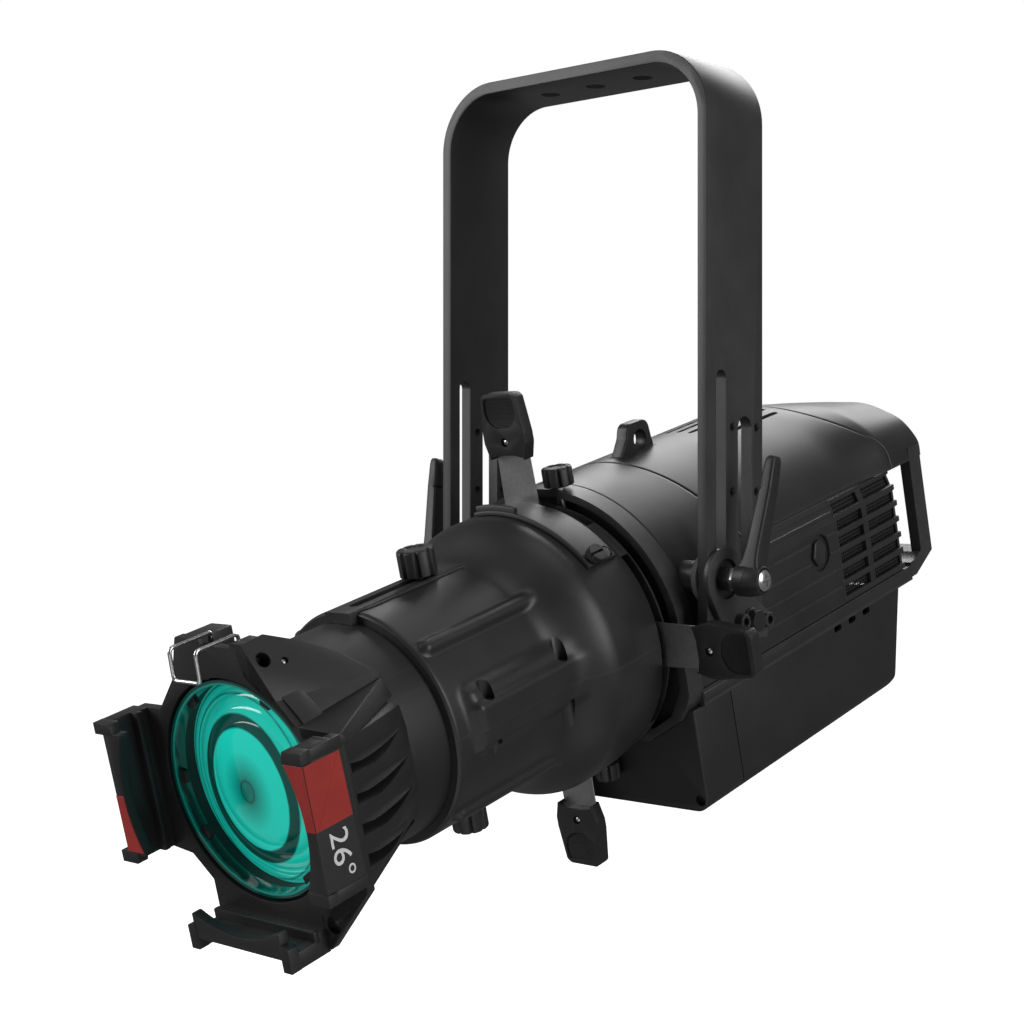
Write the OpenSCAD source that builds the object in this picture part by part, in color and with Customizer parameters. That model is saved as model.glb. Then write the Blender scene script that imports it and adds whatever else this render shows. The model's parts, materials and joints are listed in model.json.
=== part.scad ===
// Ellipsoidal spotlight with an LED engine, hung by its yoke.
// Millimetres. Origin: centre of the yoke's middle clamp hole, on the yoke's top face.
// +Z is up and the beam leaves towards -Y. The lamp head is drawn in its own frame, with
// the optical axis along Y through the origin, and in_head() puts it in the yoke.

/* [Yoke] */
// Outer width of the yoke
yoke_w = 225; // [224:0.5:226]
// Height of the yoke, from its top face to the ends of its legs
yoke_h = 378; // [374:1:384]
// Width of the steel bar that the yoke is bent from
bar_w = 60; // [58:1:62]
// Thickness of the bar
bar_t = 8; // [8:0.5:9]
// Outer radius of the yoke's two bends
bend_r = 44; // [36:1:50]
// Diameter of the three clamp holes
clamp_hole_d = 13; // [12.5:0.1:13.5]
// Distance from the middle clamp hole to the outer two
clamp_pitch = 39.3; // [36:0.1:44]
// Width of the pivot slot in each leg
pivot_slot_w = 10.6; // [10.6:0.1:11]
// Width of the accessory slot in each leg
wide_slot_w = 15; // [14:0.5:16]

/* [Tilt] */
// Tilt of the head at rest, nose down
tilt_rest = 14.7; // [13:0.1:16]
// Diameter of the stud that each lock lever turns on
stud_d = 10; // [9.8:0.1:10]

/* [Head] */
// Radius of the round top of the housing
shell_r = 94.9; // [94.6:0.1:95]
// Half the width of the housing's flat sides
side_x = 93; // [92.6:0.1:93.2]
// Wall thickness of the housing covers
shell_t = 2.5; // [2:0.1:3]
// Where the housing's covers end at the rear, along the beam axis
hood_end = 297; // [294:1:298]
// Depth of the electronics box below the beam axis
box_depth = 115; // [112:1:118]

/* [Barrel] */
// Radius of the barrel's round front part
barrel_r = 72; // [71.5:0.1:72.5]
// Radius of the widest part of the dome, round the shutters
dome_r = 90.3; // [89:0.1:90.6]
// Half-width of each shutter blade's tail
tail_half = 15; // [14:0.5:15.5]

/* [Lens tube] */
// Outer radius of the sliding lens tube
tube_r = 66; // [65.5:0.1:66]
// Radius of the front opening of the colour frame holder
aperture_r = 64.7; // [64.5:0.1:65]
// Front plane of the colour frame holder, along the beam axis
holder_front = -327.7; // [-328:0.1:-327]

/* [Hidden] */
$fn = 96;

black = [0.06, 0.06, 0.065];
dark = [0.11, 0.11, 0.12];
steel = [0.72, 0.72, 0.74];
blade_grey = [0.5, 0.5, 0.52];
aluminium = [0.66, 0.66, 0.68];
glass = [0.25, 0.85, 0.8, 0.6];
board_green = [0.1, 0.35, 0.2];

// the pivot, in the row frame and in the head's own frame
pivot = [0, -15.7, -330.4];
head_pivot = [0, 3, 31.3];
leg_out = yoke_w / 2;
leg_in = leg_out - bar_t;
wide_slot_y = 10;
hole_rows = [-236.6, -276.9, -317.2, -357.5];
hole_cols = [-2.9, 23.5];
plate_t = 4.5;
plate_out = leg_out + plate_t;
panel_top = 36.7;
tray_top = -39;
box_top = -50;
box_front = -17.5;
box_half = 91;
panel_y = 252;
rim_y = -34.6;
gate_r = 38;
blade_t = 0.8;
lens_r = 60;

// ---- helpers ----
module in_head() {
    translate(pivot) rotate([tilt_rest, 0, 0]) translate(-head_pivot) children();
}

// extrudes a shape drawn in (x, z) from y0 to y1
module prism_y(y0, y1) {
    translate([0, y1, 0]) rotate([90, 0, 0]) linear_extrude(y1 - y0) children();
}

// extrudes a shape drawn in (y, z) from x0 to x1
module prism_x(x0, x1) {
    translate([x0, 0, 0]) rotate([90, 0, 90]) linear_extrude(x1 - x0) children();
}

// turns a profile drawn in (radius, y) about the beam axis
module round_y(start = 0, angle = 360) {
    rotate([-90, 0, 0]) rotate([0, 0, start]) rotate_extrude(angle = angle) children();
}

module tube_y(y0, y1, r_out, r_in) {
    round_y() translate([r_in, y0]) square([r_out - r_in, y1 - y0]);
}

module rod_x(x0, x1, r) {
    translate([x0, 0, 0]) rotate([0, 90, 0]) cylinder(r = r, h = x1 - x0);
}

module rod_y(y0, y1, r) {
    translate([0, y0, 0]) rotate([-90, 0, 0]) cylinder(r = r, h = y1 - y0);
}

module box(lo, hi) {
    translate(lo) cube(hi - lo);
}

module both_sides() {
    children();
    mirror([1, 0, 0]) children();
}

module rounded_rect(w, h, r) {
    translate([-w / 2 + r, -h / 2]) square([w - 2 * r, h]);
    translate([-w / 2, -h / 2 + r]) square([w, h - 2 * r]);
    for (x = [-1, 1], y = [-1, 1]) translate([x * (w / 2 - r), y * (h / 2 - r)]) circle(r);
}

// a plate with its two top corners rounded, hanging from the origin
module round_top(w, h, r) {
    translate([-w / 2, -h]) square([w, h - r]);
    translate([-w / 2 + r, -h]) square([w - 2 * r, h]);
    for (x = [-1, 1]) translate([x * (w / 2 - r), -r]) circle(r);
}

// ---- yoke ----
module slot_hole(y, w, z_top, z_low) {
    prism_x(-leg_out - 1, leg_out + 1) {
        translate([y - w / 2, z_low + w / 2]) square([w, z_top - z_low - w]);
        translate([y, z_top - w / 2]) circle(w / 2);
        translate([y, z_low + w / 2]) circle(w / 2);
    }
}

module yoke() color(black) difference() {
    intersection() {
        prism_y(-bar_w / 2, bar_w / 2) difference() {
            round_top(yoke_w, yoke_h, bend_r);
            translate([0, -bar_t]) round_top(2 * leg_in, yoke_h, bend_r - bar_t);
        }
        translate([0, 0, -yoke_h]) prism_x(-leg_out, leg_out) {
            translate([-bar_w / 2, 12]) square([bar_w, yoke_h]);
            translate([-bar_w / 2 + 12, 0]) square([bar_w - 24, yoke_h]);
            for (y = [-1, 1]) translate([y * (bar_w / 2 - 12), 12]) circle(12);
        }
    }
    for (x = [-1, 0, 1]) translate([x * clamp_pitch, 0, -bar_t - 1]) {
        cylinder(d = clamp_hole_d, h = bar_t + 2);
    }
    slot_hole(pivot.y, pivot_slot_w, -201.2, -342);
    slot_hole(wide_slot_y, wide_slot_w, -229.5, -366);
    for (y = hole_cols, z = hole_rows) translate([0, y, z]) rod_x(-leg_out - 1, leg_out + 1, 2.6);
}

module pivot_plate() difference() {
    prism_x(leg_out, plate_out) union() {
        translate([pivot.y, pivot.z]) intersection() {
            circle(19.5);
            translate([-20, -20]) square([40, 34.5]);
        }
        polygon([[-34, -336], [-12, -369], [29, -369], [29, -352], [16, -344], [1, -322]]);
    }
    translate([0, pivot.y, pivot.z]) {
        rod_x(leg_out - 1, plate_out + 1, stud_d / 2 + 0.05);
        rod_x(plate_out - 3, plate_out + 1, 12.5);
    }
    for (y = hole_cols) translate([0, y, hole_rows[3]]) rod_x(leg_out - 1, plate_out + 1, 3.2);
    translate([0, wide_slot_y, hole_rows[3]]) rod_x(leg_out - 1, plate_out + 1, 4.2);
}

module pivot_plates() color(black) both_sides() pivot_plate();

module plate_cap_screws() color(black) both_sides() for (y = hole_cols) {
    translate([0, y, hole_rows[3]]) difference() {
        union() {
            rod_x(plate_out, plate_out + 6, 5);
            rod_x(leg_in + 1, plate_out, 2.55);
        }
        translate([plate_out + 3, 0, 0]) rotate([0, 90, 0]) cylinder(r = 2.9, h = 4, $fn = 6);
    }
}

module plate_hex_bolts() color(steel) both_sides() {
    translate([0, wide_slot_y, hole_rows[3]]) {
        rod_x(plate_out, plate_out + 1.6, 8);
        translate([plate_out + 1.6, 0, 0]) rotate([0, 90, 0]) cylinder(r = 7.5, h = 5.3, $fn = 6);
        rod_x(leg_in - 5, plate_out, 4);
        difference() {
            translate([leg_in - 6.5, 0, 0]) rotate([0, 90, 0]) cylinder(r = 7.5, h = 6.5, $fn = 6);
            rod_x(leg_in - 7, leg_in + 1, 4);
        }
    }
}

// ---- tilt pivot, in the head's frame ----
boss_end = 101;
boss_r = 10.6;

module pivot_brackets() color(dark) both_sides() difference() {
    union() {
        box([84, -7, -36], [88, 66, 12]);
        box([80, -7, 8], [86, 20, 34]);
        box([88, 30, -30], [side_x - shell_t, 60, 5]);
        translate([0, head_pivot.y, head_pivot.z]) rod_x(78, boss_end, boss_r);
    }
    translate([0, head_pivot.y, head_pivot.z]) rod_x(77, boss_end + 1, stud_d / 2);
}

module tilt_studs() color(steel) both_sides() {
    translate([0, head_pivot.y, head_pivot.z]) rod_x(80, 137, stud_d / 2);
}

module friction_discs() color([0.3, 0.25, 0.2]) both_sides() {
    translate([0, head_pivot.y, head_pivot.z]) difference() {
        rod_x(boss_end, leg_in - 0.05, 16);
        rod_x(boss_end - 1, leg_in, stud_d / 2);
    }
}

// The lever's arm rises from its hub and leans outwards. It is drawn with its arm up.
hub_in = 126.5;
hub_out = 144.5;
lever_up = 66;

module lever_shape() difference() {
    union() {
        rod_x(hub_in, 135, 10.3);
        translate([135, 0, 0]) rotate([0, 90, 0]) cylinder(r1 = 10.3, r2 = 8.4, h = hub_out - 135);
        translate([plate_out - 2.9, 0, 0]) rotate([0, 90, 0]) {
            cylinder(r = 8, h = hub_in - plate_out + 2.9, $fn = 6);
        }
        hull() {
            box([128, -7, 4], [140, 7, 6]);
            box([136.5, -6, 52], [146, 6, 54]);
        }
        hull() {
            box([136.5, -6, 54], [146, 6, 55]);
            box([139.5, -5, 72], [146.8, 5, 76]);
        }
    }
    rod_x(plate_out - 4, 138, stud_d / 2 + 0.06);
    rod_x(141.5, hub_out + 1, 7.2);
}

module lever_at(side) color(black) {
    translate([0, head_pivot.y, head_pivot.z]) scale([side, 1, 1]) rotate([lever_up - 90, 0, 0]) {
        lever_shape();
    }
}

module lever_right() lever_at(1);

module lever_left() color(black) mirror([1, 0, 0]) lever_at(1);

// ---- housing ----
// the housing's section: a round top between flat sides, down to z_low
module shell_section(inset, z_low) {
    x = side_x - inset;
    intersection() {
        circle(shell_r - inset);
        translate([-x, 0]) square([2 * x, shell_r]);
    }
    translate([-x, z_low]) square([2 * x, -z_low]);
}

// a shell between y0 and y1
module shell_ring(y0, y1, z_low) {
    difference() {
        prism_y(y0, y1) shell_section(0, z_low);
        prism_y(y0 - 1, y1 + 1) shell_section(shell_t, z_low - 1);
    }
}

module bezel_top(r, x) {
    intersection() {
        circle(r);
        translate([-x, 0]) square([2 * x, r]);
    }
}

module bezel_low(half) {
    left = [for (i = [len(half) - 1:-1:0]) [-half[i].x, half[i].y]];
    polygon(concat(half, left));
}

module bezel_outline(grow) {
    bezel_top(shell_r + grow, 93.9 + grow);
    bezel_low([[93.9 + grow, 0.1], [93.9 + grow, -38], [90.4 + grow, -45 - grow],
        [82.9 + grow, -56.2 - grow], [56.2 + grow, -71.7 - grow]]);
}

module bezel_opening() {
    bezel_top(89.9, 87.5);
    bezel_low([[87.5, 0.1], [87.5, -34], [84, -41], [77.3, -52.8], [61.6, -62.6]]);
    circle(bearing_r + 0.5);
}

module boss_hole() {
    translate([0, head_pivot.y, head_pivot.z]) rod_x(-boss_end, boss_end, boss_r + 0.3);
}

bearing_r = 70.1;

module front_bezel() color(black) difference() {
    union() {
        prism_y(-23, -14) difference() {
            bezel_outline(0);
            bezel_opening();
        }
        prism_y(-14, -8) difference() {
            bezel_outline(0);
            circle(bearing_r);
        }
    }
    translate([13, -18.5, 70]) cylinder(r = 3, h = 40);
}

// the seams between the three top covers, drawn in (y, z)
front_seam = [[67.5, panel_top], [55, 69], [47, 90.6], [43, 101]];
rear_seam = [[253, panel_top], [253, 54], [239, 70], [222, 90], [214, 101]];

function moved(points, d) = [for (p = points) [p.x + d, p.y]];
function backwards(points) = [for (i = [len(points) - 1:-1:0]) points[i]];

module front_hood() color(black) difference() {
    intersection() {
        shell_ring(-8, 80, 0);
        prism_x(-100, 100) polygon(concat([[-8, 101], [-8, panel_top]], front_seam));
    }
    boss_hole();
}

module top_cover() color(black) difference() {
    intersection() {
        union() {
            shell_ring(40, loft_start + 1, 0);
            hood_shell();
        }
        prism_x(-100, 100) polygon(concat(moved(front_seam, 0.4), backwards(rear_seam)));
    }
    for (i = [-3:3]) translate([i * 10, 0, 0]) box([-1.8, 130, 80], [1.8, 211, 100]);
}

// The roof's section changes from a round arch to a lower, squarer one at the rear. Each list
// holds the right half of one section as (x, z), from its foot to its crown.
loft_start = 199;
loft_r = shell_r - 0.35;
loft_middle = 250;
arch = [for (a = [0:7.5:90]) [min(side_x - 0.3, loft_r * cos(a)), loft_r * sin(a)]];
middle_section = [[93, 0], [93, 36], [90, 49], [83, 61], [72, 71], [57, 79], [37, 85], [18, 87], [0, 87.5]];
end_section = [[93, 0], [93, 36], [92.6, 46], [88, 54.5], [80, 63.5], [68, 70], [54, 75.5], [28, 77.6],
    [0, 78]];

function shrunk(points, d) = [for (p = points) [p.x * (1 - d / side_x), p.y * (1 - d / 88)]];
function whole(half) = concat(half, [for (i = [len(half) - 2:-1:0]) [-half[i].x, half[i].y]]);

module slice(y, half, inset) {
    prism_y(y, y + 0.02) polygon(whole(shrunk(half, inset)));
}

module hood_solid(inset) {
    hull() {
        slice(loft_start, arch, inset);
        slice(loft_middle, middle_section, inset);
    }
    hull() {
        slice(loft_middle, middle_section, inset);
        slice(hood_end, end_section, inset);
    }
    if (inset > 0) prism_y(hood_end - 0.1, hood_end + 1) polygon(whole(shrunk(end_section, inset)));
}

module hood_shell() difference() {
    hood_solid(0);
    translate([0, -0.01, 0]) hood_solid(shell_t);
    box([-100, loft_start - 1, -1], [100, hood_end + 2, 0.01]);
}

module rear_hood() color(black) intersection() {
    hood_shell();
    prism_x(-100, 100) polygon(concat(moved(rear_seam, 0.4),
        [[hood_end + 1, 101], [hood_end + 1, 45], [256, 45], [256, panel_top]]));
}

vent_rows = 6;
vent_pitch = 11.8;
vent_low = -34;
vent_cols = [[171, 205], [212, 247]];

module vent_window(z, y) {
    translate([0, y[0], z]) cube([100, y[1] - y[0], 7.4]);
}

module side_half(z_low, z_high) {
    translate([60, z_low]) square([60, z_high - z_low]);
}

module side_panels() color(black) both_sides() difference() {
    union() {
        intersection() {
            shell_ring(-8, 252, tray_top);
            prism_y(-9, 253) side_half(tray_top, panel_top - 0.2);
        }
        for (z = [-26, -12.9, 0.2, 13.3]) box([side_x - 1, 69, z - 1], [side_x + 0.6, 168, z + 1]);
    }
    boss_hole();
    for (i = [0:vent_rows - 1], y = vent_cols) vent_window(vent_low + i * vent_pitch, y);
    translate([0, 145, 5]) rod_x(side_x - 1.2, 100, 12.5);
}

module vent_screens() color(dark) both_sides() difference() {
    intersection() {
        prism_y(169, 249) difference() {
            shell_section(shell_t, tray_top);
            shell_section(shell_t + 1.2, tray_top - 1);
        }
        prism_y(160, 250) side_half(-37, 35);
    }
    for (i = [0:7], k = [0:4]) translate([0, 174 + i * 10, -31 + k * 13]) rod_x(80, 92, 1.5);
}

module lower_tray() color(black) difference() {
    union() {
        prism_y(-7.8, 262) translate([-side_x, box_top]) square([2 * side_x, tray_top - box_top - 0.2]);
        difference() {
            box([-side_x, 262, -48], [side_x, 295, -33]);
            translate([0, 262, -10]) rod_x(-100, 100, 27);
        }
    }
    box([-88, -4, box_top - 1], [88, 248, tray_top + 1]);
    rod_y(-9, -3, 75.6);
    prism_x(-100, 100) polygon([[262, -51], [296, -51], [296, -36]]);
}

module box_section(inset) {
    translate([0, -box_depth + 10]) square([2 * (box_half - inset), 1], center = true);
    translate([-box_half + inset, -box_depth + 10]) {
        square([2 * (box_half - inset), box_depth - 10 + box_top]);
    }
    translate([-box_half + 10, -box_depth + inset]) square([2 * (box_half - 10), 20]);
    for (x = [-1, 1]) translate([x * (box_half - 10), -box_depth + 10]) circle(10 - inset);
}

module box_side(inset) {
    polygon([[24.4 + inset, box_top + 1], [24.4 + inset, -box_depth - 1],
        [214 - inset, -box_depth - 1], [240 - inset, box_top + 1]]);
}

module electronics_box() color(black) difference() {
    intersection() {
        prism_y(20, 245) box_section(0);
        prism_x(-100, 100) box_side(0);
    }
    intersection() {
        prism_y(20, 245) union() {
            box_section(2.5);
            translate([-88, -60]) square([176, 20]);
        }
        prism_x(-100, 100) translate([0, 2.5]) box_side(2.5);
    }
    for (y = [152, 170, 188]) box([-100, y, -62], [100, y + 10, -58]);
}

module box_front_cover() color(black) difference() {
    prism_y(box_front, 24) box_section(0);
    prism_y(box_front + 2.5, 25) union() {
        box_section(2.5);
        translate([-88, -60]) square([176, 20]);
    }
    prism_y(box_front - 1, -7.7) bezel_outline(0.2);
    box([-100, box_front - 1, -60], [100, -7.7, box_top + 1]);
    for (x = [-1, 1]) translate([x * 82, 0, -105]) rod_y(box_front - 1, box_front + 4, 3.4);
}

module rear_handles() color(black) both_sides() difference() {
    box([85, 279, -33], [side_x, 295, 45]);
    box([84, 282, -40], [86.5, 292, 60]);
}

// where the rear panel's parts sit, as (x, z)
socket_places = [[-56, 41], [-56, 9], [-56, -22], [56, -22]];
button_places = [[46, 6], [58, 6], [70, 6]];
display_place = [57, 32];
fan_place = [0, 8];

module rear_panel() color(black) difference() {
    intersection() {
        prism_y(panel_y, panel_y + 2.5) shell_section(shell_t, tray_top);
        union() {
            hood_solid(shell_t + 0.3);
            box([-100, 250, tray_top], [100, 260, 20]);
        }
    }
    for (p = socket_places) translate([p.x, 0, p.y]) rod_y(panel_y - 1, panel_y + 4, 12);
    for (p = button_places) translate([p.x, 0, p.y]) rod_y(panel_y - 1, panel_y + 4, 3.8);
    translate([display_place.x, 0, display_place.y]) box([-16, panel_y - 1, -9], [16, panel_y + 4, 9]);
    translate([fan_place.x, 0, fan_place.y]) for (a = [0:45:315]) rotate([0, a, 0]) {
        box([12, panel_y - 1, -3], [33, panel_y + 4, 3]);
    }
}

module rear_sockets() color(dark) for (p = socket_places) translate([p.x, 0, p.y]) difference() {
    union() {
        rod_y(panel_y - 14, panel_y + 2.5, 11.9);
        prism_y(panel_y + 2.5, panel_y + 5) rounded_rect(26, 29, 3);
    }
    rod_y(panel_y - 10, panel_y + 6, 9.5);
}

module display_window() color([0.1, 0.2, 0.3]) {
    translate([display_place.x, 0, display_place.y]) {
        box([-15.8, panel_y, -8.8], [15.8, panel_y + 3, 8.8]);
    }
}

module button(p) color([0.3, 0.3, 0.32]) translate([p.x, 0, p.y]) {
    rod_y(panel_y - 2, panel_y + 5.5, 3.5);
    rod_y(panel_y - 3, panel_y - 2, 4.6);
}

module button_menu() button(button_places[0]);

module button_up() button(button_places[1]);

module button_down() button(button_places[2]);

module safety_loop() color(black) difference() {
    prism_x(-4.7, 4.7) union() {
        translate([81.5, 102]) circle(12.7);
        polygon([[56, shell_r - 1], [96, shell_r - 1], [92, 108], [71, 108]]);
    }
    translate([0, 81.5, 102]) rod_x(-6, 6, 6.6);
    rod_y(50, 100, shell_r);
}

module heat_sink() color(aluminium) {
    box([-66, 150, -34], [66, 158, 56]);
    for (i = [-6:6]) box([i * 10 - 1, 158, -34], [i * 10 + 1, 205, 56]);
}

module led_board() color(board_green) {
    prism_y(147.5, 150) rounded_rect(60, 60, 4);
    rod_y(144, 147.5, 16);
}

module mixing_cone() color(aluminium) {
    round_y() polygon([[18, 147.5], [20, 147.5], [46, 64], [46, 60], [43.5, 60], [43.5, 63.5]]);
    prism_y(56, 60) difference() {
        rounded_rect(150, 96, 8);
        circle(42);
    }
}

module condenser_lens() color(glass) {
    lens(56, 46, 9);
}

// a lens with one flat face and one bulging face
module lens(y_flat, r, bulge) {
    steps = 16;
    big = (r * r + bulge * bulge) / (2 * bulge);
    half = asin(r / big);
    cap = [for (i = [0:steps]) [big * sin(half * (1 - i / steps)),
        y_flat - 3 - (big * cos(half * (1 - i / steps)) - (big - bulge))]];
    round_y() polygon(concat([[0, y_flat], [r, y_flat]], cap));
}

module fan_frame() color(dark) translate([fan_place.x, 0, fan_place.y]) difference() {
    prism_y(227, panel_y) rounded_rect(80, 80, 5);
    rod_y(226, 248, 37.5);
    for (a = [0:90:270]) rotate([0, a + 10, 0]) prism_y(247, 253) difference() {
        intersection() {
            circle(37);
            translate([3, 3]) square([40, 40]);
        }
        circle(19);
    }
}

module fan_rotor() color(black) translate([fan_place.x, 0, fan_place.y]) {
    rod_y(228.5, 246, 17);
    for (a = [0:40:320]) rotate([0, a, 0]) translate([26, 237, 0]) rotate([35, 0, 0]) {
        cube([20, 15, 1.6], center = true);
    }
}

module power_supply() color(aluminium) {
    box([-70, 60, 2.5 - box_depth], [70, 190, -72]);
}

module control_board() color(board_green) {
    box([42, 244, -6], [80, 246, 44]);
    box([48, 238, 0], [74, 244, 20]);
}

// two screws hold the box's front cover, and four hold the rear panel
module housing_screws() color(steel) {
    for (x = [-1, 1]) translate([x * 82, 0, -105]) difference() {
        rod_y(box_front + 0.5, box_front + 2.5, 3.3);
        box([-2.2, box_front, -0.4], [2.2, box_front + 1.2, 0.4]);
    }
    for (x = [-1, 1], z = [-33, 60]) translate([x * (z > 0 ? 34 : 80), panel_y + 2.5, z]) {
        difference() {
            rod_y(0, 1.8, 3.2);
            box([-2.2, 1, -0.4], [2.2, 2, 0.4]);
        }
    }
}

// ---- knobs ----
module lobed_knob(r, h, lobes) {
    difference() {
        cylinder(r = r, h = h);
        for (a = [0:360 / lobes:359]) rotate(a) translate([r + 1.6, 0, -1]) {
            cylinder(r = 2.6, h = h + 2, $fn = 32);
        }
    }
}

module rotation_lock_knob() color(black) translate([13, -18.5, 0]) {
    translate([0, 0, 95.5]) lobed_knob(10, 13, 8);
    translate([0, 0, 72]) cylinder(r = 2.93, h = 23.6);
}

module gate_lock_knob() color(black) translate([20, -26.2, 0]) {
    translate([0, 0, -100]) lobed_knob(8.4, 12, 8);
    translate([0, 0, -88.1]) cylinder(r = 0.65, h = 6);
}

// ---- barrel ----
flare_start = -120;
flare_end = -78;

// a smooth rise from 0 to 1
function rise(t) = (1 - cos(180 * t)) / 2;

// outer radius of the barrel at y
function barrel_at(y) =
    y < flare_start ? barrel_r :
    y < flare_end ? barrel_r + (dome_r - barrel_r) * rise((y - flare_start) / (flare_end - flare_start)) :
    y < -70 ? dome_r : dome_r - 3.3 * pow((y + 70) / (rim_y + 70), 2);

barrel_front = -206;
barrel_steps = 30;
barrel_ys = concat([barrel_front + 3], [for (i = [0:barrel_steps])
    flare_start + (rim_y - flare_start) * i / barrel_steps]);
dome_wall = 2.6;

module barrel_profile() {
    outer = [for (y = barrel_ys) [barrel_at(y), y]];
    inner = [for (i = [barrel_steps + 1:-1:9]) [barrel_at(barrel_ys[i]) - dome_wall, barrel_ys[i]]];
    polygon(concat([[barrel_r - 1.6, barrel_front]], outer, inner,
        [[tube_r + 0.08, -100], [tube_r + 0.08, barrel_front]]));
}

bead_r = 5;
bead_at = 51;
flange_front = barrel_front;
flange_rear = -84;
barrel_screw_places = [-178, -112];

// side 1 is the upper half, and side -1 the lower half
module barrel_half(side) difference() {
    union() {
        round_y(side > 0 ? 180 : 0, 180) barrel_profile();
        difference() {
            union() {
                both_sides() {
                    translate([bead_at, 0, side * bead_at * 0.97]) rod_y(barrel_front + 1, -105, bead_r);
                    prism_y(flange_front, flange_rear) {
                        if (side > 0) polygon([[62, 0], [79, 0], [79, 9], [74, 19], [60, 28]]);
                        else polygon([[62, 0], [79, 0], [78, -8], [70, -14], [60, -20]]);
                    }
                }
                if (side > 0) box([-10.3, -212, 62], [10.3, -96, 73]);
            }
            rod_y(-220, -90, tube_r + 1);
            rod_y(-108, -80, barrel_r - 1);
        }
    }
    rod_y(-213, -205, tube_r + 0.08);
}

module knob_slot(side, y0, y1, w) {
    translate([0, 0, side > 0 ? 0 : -100]) {
        box([-w / 2, y0 + w / 2, 0], [w / 2, y1 - w / 2, 100]);
        for (y = [y0 + w / 2, y1 - w / 2]) translate([0, y, 0]) cylinder(d = w, h = 100);
    }
}

module screw_holes() {
    both_sides() for (y = barrel_screw_places) translate([73, y, -30]) {
        cylinder(r = 2.5, h = 60);
        translate([0, 0, 40]) cylinder(r = 4.6, h = 30);
    }
}

module barrel_upper_half() color(black) difference() {
    barrel_half(1);
    knob_slot(1, -200, -130, 7);
    screw_holes();
    box([-10, -64, 80], [24, -52, 100]);
    rotate([0, -screw_at, 0]) translate([0, screw_y0, 0]) rod_x(80, 100, 2.17);
}

module barrel_lower_half() color(black) difference() {
    barrel_half(-1);
    knob_slot(-1, -200, -124, 7);
    screw_holes();
}

module barrel_screws() color(steel) both_sides() for (y = barrel_screw_places) {
    translate([73, y, 0]) difference() {
        union() {
            translate([0, 0, 10]) cylinder(r = 4.4, h = 4);
            translate([0, 0, -9]) cylinder(r = 2.5, h = 19);
        }
        translate([0, 0, 12]) cylinder(r = 2.2, h = 4, $fn = 6);
    }
}

module gate_front_plate() color(dark) tube_y(rim_y - 1.6, rim_y, 84.2, gate_r);

module gate_rear_ring() color(dark) difference() {
    union() {
        tube_y(-27, -25.5, 86, gate_r);
        tube_y(-25.5, -2, bearing_r - 0.06, 62);
        tube_y(-7.7, -4, 75, bearing_r - 0.06);
        for (a = [45:90:315]) rotate([0, a, 0]) translate([80, 0, 0]) rod_y(rim_y, -26.5, 3);
        for (a = [49.5, 130.5, 229.5, 310.5]) {
            round_y(-a - 9.8, 19.6) translate([84.4, rim_y]) square([1.8, 8.2]);
        }
    }
    translate([20, -26.2, -90]) cylinder(r = 0.7, h = 9);
}

cover_gap = 0.5;
cover_t = 2.6;
cover_y = [-70.4, -42];
cover_from = 39.5;
cover_span = 60.5;
cover_travel = 28;
screw_at = 42.5;
screw_y0 = -62;

module cover_profile() {
    steps = 8;
    ys = [for (i = [0:steps]) cover_y[0] + (cover_y[1] - cover_y[0]) * i / steps];
    inner = [for (y = ys) [barrel_at(y) + cover_gap, y]];
    outer = [for (i = [steps:-1:0]) [barrel_at(ys[i]) + cover_gap + cover_t, ys[i]]];
    polygon(concat(inner, outer));
}

module slot_cover() color(black) difference() {
    union() {
        round_y(-cover_from - cover_span, cover_span) cover_profile();
        round_y(-98.6, 19.6) translate([dome_r + 1, cover_y[0] + 0.4]) square([6, 3]);
    }
    round_y(-screw_at - cover_travel, cover_travel) translate([80, screw_y0 - 2.5]) square([30, 5]);
    for (a = [screw_at, screw_at + cover_travel]) rotate([0, -a, 0]) {
        translate([0, screw_y0, 0]) rod_x(80, 105, 2.8);
    }
}

module slot_cover_screw() color(black) rotate([0, -screw_at, 0]) translate([0, screw_y0, 0]) {
    rod_x(86, 96, 2.1);
    difference() {
        rod_x(dome_r + cover_gap + cover_t + 0.4, dome_r + 9.5, 6.2);
        box([dome_r + 8.3, -7, -0.8], [dome_r + 10, 7, 0.8]);
    }
}

// ---- shutters: each is drawn as the top one, and turned about the beam axis ----
blade_edge = 30;
tail_end = 124;
grip_start = 118.2;
grip_end = 161.2;
tail_tip = 12.6;

module tail_outline() {
    polygon([[-tail_half, blade_edge + 34], [tail_half, blade_edge + 34], [tail_tip, tail_end],
        [-tail_tip, tail_end]]);
}

module blade(y) {
    prism_y(y - blade_t / 2, y + blade_t / 2) {
        translate([-40, blade_edge]) square([80, 34]);
        tail_outline();
    }
}

module grip(y) difference() {
    prism_y(y - 6.6, y + 2.4) polygon([[-14.2, grip_start], [14.2, grip_start], [17, 129],
        [17, 136], [14.5, 157], [11, grip_end], [-11, grip_end], [-14.5, 157], [-17, 136], [-17, 129]]);
    prism_y(y - blade_t / 2, y + blade_t / 2) tail_outline();
    prism_y(y - 7.6, y - 5.6) translate([0, 149]) rounded_rect(24, 19, 8);
}

shutter_planes = [-33, -31.4, -28.2, -29.8];
shutter_turns = [0, 90, 180, 270];
shutter_offset = [-8, -1.6, -7, 1.6];
// how far each one is pushed in at rest
shutter_in = [0, 4, 0, 2];

// places shutter number i of top, right, bottom and left
module shutter_place(i) {
    dx = i % 2 == 0 ? shutter_offset[i] : 0;
    dz = i % 2 == 1 ? shutter_offset[i] : 0;
    translate([dx, 0, dz]) rotate([0, shutter_turns[i], 0]) translate([0, 0, -shutter_in[i]]) {
        children();
    }
}

module shutter_top() color(blade_grey) shutter_place(0) blade(shutter_planes[0]);

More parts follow.
